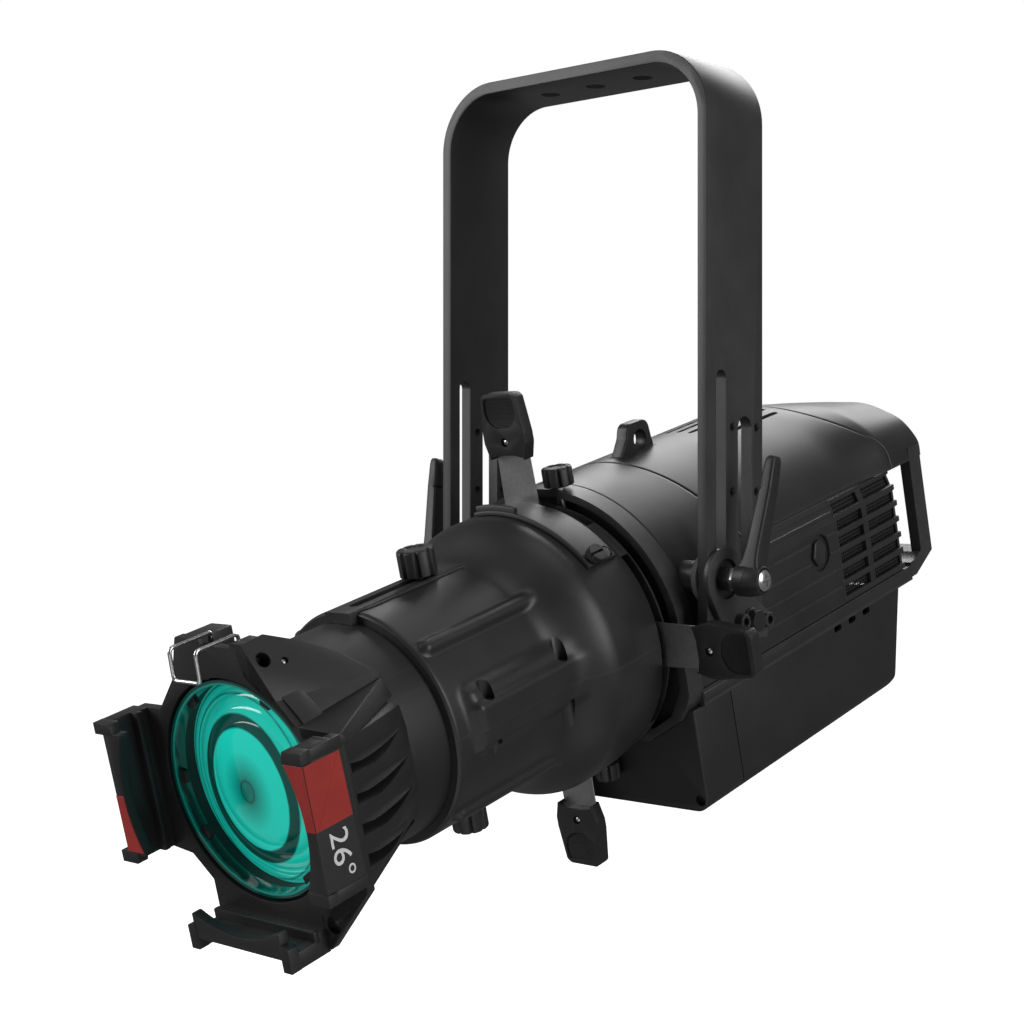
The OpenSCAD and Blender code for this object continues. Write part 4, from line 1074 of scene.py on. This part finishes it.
# threads show as rings inside the small holes
thread = []
for x in np.linspace(105.2, 110.95, 6).tolist():
    thread += [(2.62, x), (2.2, x + 0.5)]
thread += [(2.62, 112.0), (2.75, 112.0), (2.75, 105.2)]
for s, tag in SIDES[::-1]:
    prof = [(r, s * x) for r, x in thread]
    first, *rest = [lathe("yoke_threads_" + tag, prof, in_row, 20, (0, y, z), "X")
                    for z in HOLE_ROWS[:3] for y in HOLE_COLS]
    merge(first, *rest)
    first.name = "yoke_threads_" + tag
    finish_mesh(first, "black_steel", "yoke")

# ---------------------------------------------------------------- pivot plates and their screws
CAP_PROFILE = [(0.0, 120.2), (2.7, 120.2), (2.7, 122.6), (4.3, 122.9), (4.9, 122.3), (5.0, 117.1),
               (2.5, 117.05), (2.5, 106.0), (0.0, 106.0)]
WASHER_PROFILE = [(4.2, 117.05), (7.8, 117.05), (8.0, 117.4), (8.0, 118.2), (7.7, 118.6), (4.2, 118.6)]
plate_outline = [(1.5, -325)] + circle(19.5, [*range(48, 133, 6), *range(133, 206, 6)], SLOT_Y, PIVOT_Z)
plate_outline += [(-30, -345), (-12, -369), (29, -369), (29, -352), (16, -344)]
for s, tag in SIDES[::-1]:
    plate = prism("pivot_plate_" + tag, plate_outline, *span(s, LEG_OUT, 117.0), "yz", in_row)
    clean(plate)
    soften(plate, 0.7, 2, 30)
    drill(plate, 0, SLOT_Y, PIVOT_Z, 5.1, "x", (s * 110, s * 120), in_row, 48)
    drill(plate, 0, SLOT_Y, PIVOT_Z, 12.5, "x", (s * 114.4, s * 120), in_row, 64)
    for y, r in ((HOLE_COLS[0], 3.2), (HOLE_COLS[1], 3.2), (WIDE_Y, 4.2)):
        drill(plate, 0, y, SCREW_ROW, r, "x", (s * 110, s * 120), in_row, 32)
    finish_mesh(plate, "yoke_paint", "yoke", 30)

    heads = []
    for y in HOLE_COLS:
        prof = [(r, s * x) for r, x in CAP_PROFILE]
        head = lathe("cap", prof, in_row, 48, (0, y, SCREW_ROW), "X")
        socket = circle(2.9, range(0, 360, 60), y, SCREW_ROW)
        heads.append(cut(head, prism("c", socket, *span(s, 119.6, 123.5), "yz", in_row)))
    merge(*heads)
    heads[0].name = "plate_cap_screw_" + tag
    finish_mesh(heads[0], "black_steel", "yoke", 30)

    hexagon = circle(7.5, range(0, 360, 60), WIDE_Y, SCREW_ROW)
    bolt = prism("hex", hexagon, *span(s, 118.6, 123.9), "yz", in_row)
    cone = rod("c", (s * 110, WIDE_Y, SCREW_ROW), (s * 125.4, WIDE_Y, SCREW_ROW), 12.4, in_row, 64, 6.0)
    boolean(bolt, [cone], "INTERSECT")
    clean(bolt)
    soften(bolt, 0.3, 2, 20)
    washer = lathe("w", [(r, s * x) for r, x in WASHER_PROFILE], in_row, 64, (0, WIDE_Y, SCREW_ROW), "X")
    nut = soften(prism("n", hexagon, *span(s, 98.1, 104.3), "yz", in_row), 0.5, 2, 20)
    shank = rod("s", (s * 98.6, WIDE_Y, SCREW_ROW), (s * 119, WIDE_Y, SCREW_ROW), 3.9, in_row, 32)
    merge(bolt, washer, nut, shank)
    bolt.name = "plate_hex_bolt_" + tag
    finish_mesh(bolt, "black_steel", "yoke", 30)
    if s > 0:
        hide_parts("pivot_plates")
        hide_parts("plate_cap_screws")
        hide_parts("plate_hex_bolts")

# ---------------------------------------------------------------- roof covers
ROOF_R, SIDE_X, PANEL_TOP = 94.9, 93.0, 36.7
LOFT_START, LOFT_MIDDLE, HOOD_END = 199.0, 250.0, 297.0
MIDDLE = [(93, 36), (90, 49), (83, 61), (72, 71), (57, 79), (37, 85), (18, 87), (0, 87.5)]
END = [(93, 36), (92.6, 46), (88, 54.5), (80, 63.5), (68, 70), (54, 75.5), (28, 77.6), (0, 78)]
# each section has this many points on either side of its top one
HALF = 36


def even(points, n):
    """The same curve at evenly spaced points, rounded between the given ones."""
    p = np.array(points, float)
    full = np.vstack([p, [(-x, z) for x, z in points[-2::-1]]])
    s = np.concatenate([[0], np.cumsum(np.hypot(*np.diff(full, axis=0).T))])
    slope = np.gradient(full, s, axis=0)
    t = np.linspace(0, s[-1], 2 * n + 1)
    k = np.clip(np.searchsorted(s, t) - 1, 0, len(s) - 2)
    h = (s[k + 1] - s[k])[:, None]
    u = ((t - s[k]) / (s[k + 1] - s[k]))[:, None]
    return ((2 * u ** 3 - 3 * u ** 2 + 1) * full[k] + (u ** 3 - 2 * u ** 2 + u) * h * slope[k]
            + (3 * u ** 2 - 2 * u ** 3) * full[k + 1] + (u ** 3 - u ** 2) * h * slope[k + 1])


foot_angle = math.degrees(math.asin(PANEL_TOP / ROOF_R))
ARCH = [(min(SIDE_X - 0.3, x), z) for x, z in circle(ROOF_R, np.linspace(foot_angle, 90.0, 24))]
SECTIONS = [even(c, HALF) for c in (ARCH, MIDDLE, END)]


def roof(k, y):
    """Point k of the roof's section at y."""
    arch, middle, end = (s[k] for s in SECTIONS)
    if y <= LOFT_START:
        return arch
    if y <= LOFT_MIDDLE:
        u = (y - LOFT_START) / (LOFT_MIDDLE - LOFT_START)
        v = u * u * (1.6 - 0.6 * u)
        return arch * (1 - v) + middle * v
    u = (y - LOFT_MIDDLE) / (HOOD_END - LOFT_MIDDLE)
    return middle * (1 - u) + end * u


# seams run up and over the roof: y and z
FRONT_SEAM = ((67.5, 36.7), (55, 69), (47, 90.6), (43, 101))
REAR_SEAM = ((253, 36.7), (253, 54), (239, 70), (222, 90), (214, 101))
SEAM_GAP = 0.5


def seam(line, shift=0.0):
    """A function of k: how far back the seam lies at point k of the roof's section."""
    ys, zs = zip(*line)

    def at(k):
        y = 150.0
        for _ in range(12):
            y = float(np.interp(roof(k, y)[1], zs, ys)) + shift
        return y
    return at


def roof_shell(name, first, last, rows, thick=2.5):
    """A curved cover between two edges, with rolled edges; each edge gives y for point k."""
    drops = [0.9, 0.28] + [0.0] * (rows + 2) + [0.28, 0.9]
    outer, inner = [], []
    for k in range(2 * HALF + 1):
        y0, y1 = first(k), last(k)
        ys = [y0, y0 + 0.35, y0 + 0.9, *np.linspace(y0 + 2.0, y1 - 2.0, rows), y1 - 0.9, y1 - 0.35, y1]
        outer.append([])
        inner.append([])
        for y, drop in zip(ys, drops):
            along = roof(min(k + 1, 2 * HALF), y) - roof(max(k - 1, 0), y)
            normal = np.array([along[1], -along[0]]) / np.hypot(*along)
            for grid, depth in ((outer, drop), (inner, thick)):
                x, z = roof(k, y) - normal * depth
                grid[-1].append((float(x), float(y), float(z)))
    return shell(name, outer, inner)


hood = roof_shell("front_hood_cover", lambda k: -8.0, seam(FRONT_SEAM), 20)
finish_mesh(hood, "cast_black", "head", 40)
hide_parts("front_hood")

top = roof_shell("top_cover_roof", seam(FRONT_SEAM, SEAM_GAP), seam(REAR_SEAM), 58)
for x in range(-30, 31, 10):
    slot = corner_points([(x - 1.8, 130), (x + 1.8, 130), (x + 1.8, 211), (x - 1.8, 211)], 1.7, 5)
    cut(top, prism("c", slot, 80, 100, "xy"))
finish_mesh(top, "cast_black", "head", 40)
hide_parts("top_cover")

tail_hood = roof_shell("rear_hood_cover", seam(REAR_SEAM, SEAM_GAP), lambda k: HOOD_END, 24)
finish_mesh(tail_hood, "cast_black", "head", 40)
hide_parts("rear_hood")

# ---------------------------------------------------------------- side panels
VENT_LOW, VENT_PITCH, VENT_H, VENT_ROWS = -34.0, 11.8, 7.4, 6
CURVE_FROM = 18
BOSS_Y, BOSS_Z = 145, 5
PANEL = 2.5
SHEET_PITCH, SHEET_BACK = 2.35, 2.7
# one cell of the perforated sheet: its square edge, then its round hole
CELL = [(SHEET_PITCH / 2 * a, SHEET_PITCH / 2 * b)
        for a, b in ((1, 0), (1, 1), (0, 1), (-1, 1), (-1, 0), (-1, -1), (0, -1), (1, -1))]
CELL += circle(0.78, range(0, 360, 45))
curve = [(math.sqrt(ROOF_R ** 2 - z * z), z) for z in np.linspace(36.4, 19.2, 10)]


def side_x(z):
    """The housing's side: upright below, and following the roof above."""
    return SIDE_X if z < CURVE_FROM else math.sqrt(ROOF_R ** 2 - z * z)


def vent_sheet(name, s):
    """Perforated sheet behind the vents."""
    verts, faces = [], []
    for row in range(VENT_ROWS * 4):
        zc = VENT_LOW + row // 4 * VENT_PITCH - 0.8 + (row % 4 + 0.5) * SHEET_PITCH
        for y0, count in ((170.4, 15), (211.4, 16)):
            for col in range(count):
                base = len(verts)
                for depth in (SHEET_BACK, SHEET_BACK + 0.5):
                    verts += [(s * (side_x(zc + dz) - depth), y0 + (col + 0.5) * SHEET_PITCH + dy, zc + dz)
                              for dy, dz in CELL]
                for k in range(base, base + 8):
                    j = base + (k - base + 1) % 8
                    faces += [(k, j, 8 + j, 8 + k), (16 + k, 24 + k, 24 + j, 16 + j),
                              (8 + k, 8 + j, 24 + j, 24 + k)]
    return raw(name, verts, faces)


for s, tag in SIDES[::-1]:
    profile = curve + [(SIDE_X, 18.7), (SIDE_X, -38.6), (SIDE_X - PANEL, -38.6), (SIDE_X - PANEL, 18.0)]
    profile += [(x - PANEL, z) for x, z in curve[::-1]]
    panel = prism("side_panel_" + tag, mirrored(s, profile), -8, 252, "xz")
    clean(panel)
    soften(panel, 0.6, 2, 50)
    lo, hi = span(s, 84, 98)
    for i in range(VENT_ROWS):
        z = VENT_LOW + i * VENT_PITCH
        for y0, y1 in ((171, 205), (212, 247), (246.5, 256)):
            cut(panel, block("c", (lo, y0, z), (hi, y1, z + VENT_H)))
    drill(panel, 0, BOSS_Y, BOSS_Z, 12.5, "x", (s * 91.2, s * 98), in_head, 64, 13.4)
    drill(panel, 0, 3, 31.3, 10.9, "x", (s * 70, s * 98), in_head, 48)
    finish_mesh(panel, "cast_black", "head", 30)

    ribs = []
    for z in (-26, -12.9, 0.2, 13.3, 27.0):
        x = side_x(z)
        prof = corner_points([(x - 0.8, z - 1.3), (x + 0.5, z - 0.9), (x + 0.5, z + 0.9), (x - 0.8, z + 1.3)],
                             [0, 0.4, 0.4, 0], 3)
        rib = soften(prism("r", mirrored(s, prof), 69.0, 168.0, "xz"), 0.3, 1, 60)
        if abs(z - BOSS_Z) < 12.5:
            half = math.sqrt(13.2 ** 2 - (z - BOSS_Z) ** 2)
            lo, hi = span(s, 80, 98)
            cut(rib, block("c", (lo, BOSS_Y - half, z - 3), (hi, BOSS_Y + half, z + 3)))
        ribs.append(rib)
    merge(*ribs)
    ribs[0].name = "side_ribs_" + tag
    finish_mesh(ribs[0], "cast_black", "head", 30)

    # rounded fins between the vents, which reach past the rear edge
    fins = []
    for i in range(VENT_ROWS + 1):
        z1 = VENT_LOW + i * VENT_PITCH - 0.15
        z0 = z1 - (VENT_PITCH - VENT_H) + 0.3
        if i == VENT_ROWS:
            z1 = z0 + 2.6
        x = side_x((z0 + z1) / 2)
        outline = corner_points([(x - 2.4, 169.0), (x + 0.5, 169.0), (x + 0.5, 254.4), (x - 2.4, 254.4)],
                                [0, 0.7, 2.6, 0], 5)
        fins.append(soften(prism("f", mirrored(s, outline), z0, z1, "xy"), 0.6, 2, 50))
    merge(*fins)
    fins[0].name = "side_fins_" + tag
    finish_mesh(fins[0], "cast_black", "head", 30)

    boss_outline = circle(8.6, (20, 75, 120, 190, 245, 300), BOSS_Y, BOSS_Z, 9.6)
    boss = prism("side_boss_" + tag, boss_outline, *span(s, 90.9, 93.6), "yz")
    soften(boss, 1.1, 3, 20)
    finish_mesh(boss, "cast_black", "head", 30)

    sheet = finish_mesh(vent_sheet("vent_mesh_" + tag, s), "dark_mesh", "head", 30)
    if s > 0:
        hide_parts("side_panels")
        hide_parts("vent_screens")

# ---------------------------------------------------------------- safety loop
ear = corner_points([(57.5, 93.6), (96.0, 93.6), (94.2, 102), (92.6, 114.7), (70.4, 114.7), (67.2, 106)],
                    [0, 0, 10, 11, 11, 10], 10)
loop = prism("safety_loop_ear", ear, -4.7, 4.7, "yz")
clean(loop)
soften(loop, 1.0, 3, 30)
cut(loop, lathe("c", [(0.0, -8.0), (8.4, -8.0), (6.6, -3.6), (6.6, 3.6), (8.4, 8.0), (0.0, 8.0)], in_head, 64,
                (0, 81.5, 102), "X"))
base = corner_points([(-5.8, 56.0), (5.8, 56.0), (5.8, 97.6), (-5.8, 97.6)], 2.0, 5)
merge(loop, soften(prism("f", base, 93.6, 95.2, "xy"), 0.7, 2, 40))
finish_mesh(loop, "cast_black", "head", 30)
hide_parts("safety_loop")


# ---------------------------------------------------------------- slot cover and its thumbscrew
def band(name, a0, a1, y0, y1, gap, thick, na=96, ny=20):
    """A strip that follows the dome, with rounded edges."""
    angles = [a0, a0 + 0.25, a0 + 0.6, *np.linspace(a0 + 1.2, a1 - 1.2, na), a1 - 0.6, a1 - 0.25, a1]
    ys = [y0, y0 + 0.3, y0 + 0.8, *np.linspace(y0 + 1.6, y1 - 1.6, ny), y1 - 0.8, y1 - 0.3, y1]

    def edge_drop(i, n):
        return {0: 0.8, 1: 0.25}.get(min(i, n - 1 - i), 0.0)

    outer, inner = [], []
    for i, a in enumerate(angles):
        outer.append([])
        inner.append([])
        for j, y in enumerate(ys):
            low = float(barrel_at(y)) + gap
            high = low + thick - max(edge_drop(i, len(angles)), edge_drop(j, len(ys)))
            for grid, r in ((outer, high), (inner, low)):
                x, z = polar(r, a)
                grid[-1].append((x, y, z))
    return shell(name, outer, inner)


def about_axis(angle, shift=(0, 0, 0)):
    """Places a point drawn at the right-hand side, turned up round the beam axis."""
    rot = Matrix.Rotation(-math.radians(angle), 4, "Y")
    return lambda v: in_head(rot @ (Vector(v) + Vector(shift)))


cover = band("slot_cover_band", 39.7, 100.0, -70.4, -42.0, 0.5, 2.6)
groove = lathe("c", [(80, -64.6), (93.0, -64.6), (93.0, -59.4), (80, -59.4)], in_head, 200)
sector = [(0, 0)] + circle(140, np.linspace(42.5, 70.5, 12))
boolean(groove, [prism("c", sector, -80, -40, "xz")], "INTERSECT")
cut(cover, groove)
# the lock mark, a small hook cut into the cover
MARK_ANGLE, MARK_Y = 43.0, -47.2
on_mark = about_axis(MARK_ANGLE, (0, MARK_Y, 0))
mark = lathe("c", [(3.0, 88.2), (4.1, 88.2), (4.1, 96.0), (3.0, 96.0)], on_mark, 40, axis="X")
boolean(mark, [block("k", (80, -47.5, -6), (100, -38, 6), about_axis(MARK_ANGLE))], "INTERSECT")
cut(cover, mark)
merge(cover, band("t", 79.2, 98.4, -69.8, -66.6, 1.4, 5.4, 30, 2))
finish_mesh(cover, "plastic_black", "cover", 32)
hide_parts("slot_cover")

on_screw = about_axis(42.5, (0, -62.0, 0))
knurl = [polar(6.2 if k % 3 else 5.75, k * 5) for k in range(72)]
thumbscrew = prism("slot_cover_thumbscrew", knurl, 93.9, 99.2, "yz", on_screw)
rounding = [(0.0, 93.7), (5.4, 93.8), (6.3, 94.6), (6.3, 98.6), (5.5, 99.5), (0.0, 99.6)]
boolean(thumbscrew, [lathe("k", rounding, on_screw, 48, axis="X")], "INTERSECT")
cut(thumbscrew, block("c", (98.0, -7, -0.75), (101, 7, 0.75), on_screw))
merge(thumbscrew, rod("s", (86.4, 0, 0), (94.2, 0, 0), 2.05, on_screw, 24))
finish_mesh(thumbscrew, "black_steel", "cover_screw", 30)
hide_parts("slot_cover_screw")

# ---------------------------------------------------------------- electronics box and its front cover
BOX_X, BOX_LOW, BOX_TOP = 91.0, -119.0, -50.0
BOX_INSIDE = [(-88.5, -40), (-88.5, -110), (-82, -116.4), (82, -116.4), (88.5, -110), (88.5, -40)]
box_outline = corner_points([(-BOX_X, BOX_TOP), (-BOX_X, BOX_LOW), (BOX_X, BOX_LOW), (BOX_X, BOX_TOP)],
                            [0, 10, 10, 0], 8)
case = prism("electronics_case", box_outline, 20, 250, "xz")
side_view = [(24.4, -49), (24.4, -121), (211, -121), (223, -113), (244.5, -49)]
boolean(case, [prism("c", side_view, -100, 100, "yz")], "INTERSECT")
clean(case)
soften(case, 1.3, 3, 34)
cut(case, prism("c", BOX_INSIDE, 27, 208, "xz"))
for s in (-1, 1):
    for y in (152.5, 172.0, 191.5):
        vent = corner_points([(y, -55.4), (y + 9.4, -55.4), (y + 9.4, -51.2), (y, -51.2)], 1.6, 4)
        cut(case, prism("c", vent, *span(s, 86, 93), "yz"))
finish_mesh(case, "plastic_black", "head", 34)
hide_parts("electronics_box")

face = prism("box_front_face", box_outline, -17.5, 24.0, "xz")
clean(face)
soften(face, 1.1, 3, 34)
# it is cut away behind the bezel
right_of_bezel = [(56.3, -72.1), (83.1, -56.5), (90.7, -45.2), (94.2, -38)]
bezel = [(-x, z) for x, z in right_of_bezel[::-1]] + right_of_bezel + circle(95.2, range(9, 172, 6))
cut(face, prism("c", bezel, -19, -7.7, "xz"))
cut(face, prism("c", BOX_INSIDE, -7.5, 26, "xz"))
for s in (-1, 1):
    drill(face, s * 85.2, 0, -110.8, 3.6, "y", (-20, -13.8), in_head, 40)
finish_mesh(face, "plastic_black", "head", 34)
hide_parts("box_front_cover")

# the rounded rail along each side of the tray
rail_outline = corner_points([(88.5, -40.6), (93.6, -40.6), (93.6, -46.5), (91.6, -50.6), (88.5, -50.6)],
                             [0, 1.4, 3.5, 1.0, 0], 5)
for s, tag in SIDES[::-1]:
    rail = prism("tray_rail_" + tag, mirrored(s, rail_outline), -7.0, 262.0, "xz")
    soften(rail, 0.4, 2, 40)
    finish_mesh(rail, "cast_black", "head", 34)

# ---------------------------------------------------------------- rounded edges on the plain CAD pieces
EDGES = {
    "lower_tray": 1.6, "rear_handles": 2.0, "front_bezel": 0.9, "rear_panel": 0.4, "rear_sockets": 0.7,
    "display_window": 0.6, "button_menu": 0.5, "button_up": 0.5, "button_down": 0.5, "heat_sink": 0.3,
    "fan_frame": 0.8, "fan_rotor": 0.4, "power_supply": 0.8, "control_board": 0.2, "led_board": 0.2,
    "pivot_brackets": 0.6, "friction_discs": 0.5, "gate_front_plate": 0.3, "gate_rear_ring": 0.3,
    "housing_screws": 0.3, "tilt_studs": 0.6}
for name, width in EDGES.items():
    edge_bevel(nodes[name], "rounded_edges", width, 3, 35)

# ---------------------------------------------------------------- camera, floor and light
# the camera was solved from the photo, which is 1024 pixels wide and high
PHOTO, FOCAL_PIXELS, HORIZON = 1024.0, 1812.39, 474.0
SENSOR = 36.0
CAM_AZ = math.radians(41.745)
cam_data = bpy.data.cameras.new("camera")
cam = bpy.data.objects.new("camera", cam_data)
scene.collection.objects.link(cam)


def aim(obj, place, direction):
    obj.location = place
    obj.rotation_mode = "QUATERNION"
    obj.rotation_quaternion = direction.to_track_quat("-Z", "Y")


aim(cam, (0.7614, -0.9369, -0.2658), Vector((-math.sin(CAM_AZ), math.cos(CAM_AZ), 0.0)))
cam_data.sensor_width = SENSOR
cam_data.lens = FOCAL_PIXELS / PHOTO * SENSOR
cam_data.shift_y = (HORIZON - PHOTO / 2) / PHOTO
cam_data.clip_start = 0.05
cam_data.clip_end = 50.0
scene.camera = cam

WHITE = (1.0, 1.0, 1.0, 1.0)
scene.view_settings.view_transform = "Standard"
world = bpy.data.worlds.new("studio")
scene.world = world
world.use_nodes = True
# the camera sees white paper, and the lamp is lit by a dimmer room
tree = world.node_tree
paper = tree.nodes["Background"]
paper.inputs["Color"].default_value = WHITE
paper.inputs["Strength"].default_value = 1.0
room = add(tree, "ShaderNodeBackground", Color=WHITE, Strength=0.15)
path = add(tree, "ShaderNodeLightPath")
mix = add(tree, "ShaderNodeMixShader")
tree.links.new(path.outputs["Is Camera Ray"], mix.inputs[0])
tree.links.new(room.outputs[0], mix.inputs[1])
tree.links.new(paper.outputs[0], mix.inputs[2])
tree.links.new(mix.outputs[0], tree.nodes["World Output"].inputs["Surface"])


def softbox(name, loc, target, width, height, power):
    data = bpy.data.lights.new(name, "AREA")
    data.energy = power
    data.shape = "RECTANGLE"
    data.size = width
    data.size_y = height
    obj = bpy.data.objects.new(name, data)
    scene.collection.objects.link(obj)
    aim(obj, loc, Vector(target) - Vector(loc))
    obj.visible_camera = False


CENTRE = (0, -0.05, -0.35)
softbox("key_left", (-1.5, -1.5, 0.5), CENTRE, 1.2, 1.6, 30.0)
softbox("rim_rear", (-0.8, 1.9, 1.5), CENTRE, 2.0, 1.2, 40.0)
softbox("side_right", (2.3, 0.1, 0.35), CENTRE, 1.0, 1.6, 26.0)
softbox("overhead", (0.5, -0.3, 2.0), CENTRE, 1.2, 1.2, 5.5)
softbox("bounce", (0.5, -0.7, -1.2), (0, 0, -0.2), 1.6, 1.6, 4.5)

bpy.ops.mesh.primitive_plane_add(size=24.0, location=(0, 0, -1.3))
floor = bpy.context.object
floor.name = "floor"
floor_mat, _, fshader = new_material("floor_paper")
for socket, value in (("Base Color", (0.93, 0.93, 0.93, 1.0)), ("Roughness", 0.9), ("Emission Color", WHITE),
                      ("Emission Strength", 1.0)):
    fshader.inputs[socket].default_value = value
floor.data.materials.append(floor_mat)
# the floor shows to the camera only, so that it throws no light on the lamp
floor.visible_diffuse = False
floor.visible_glossy = False
floor.visible_transmission = False
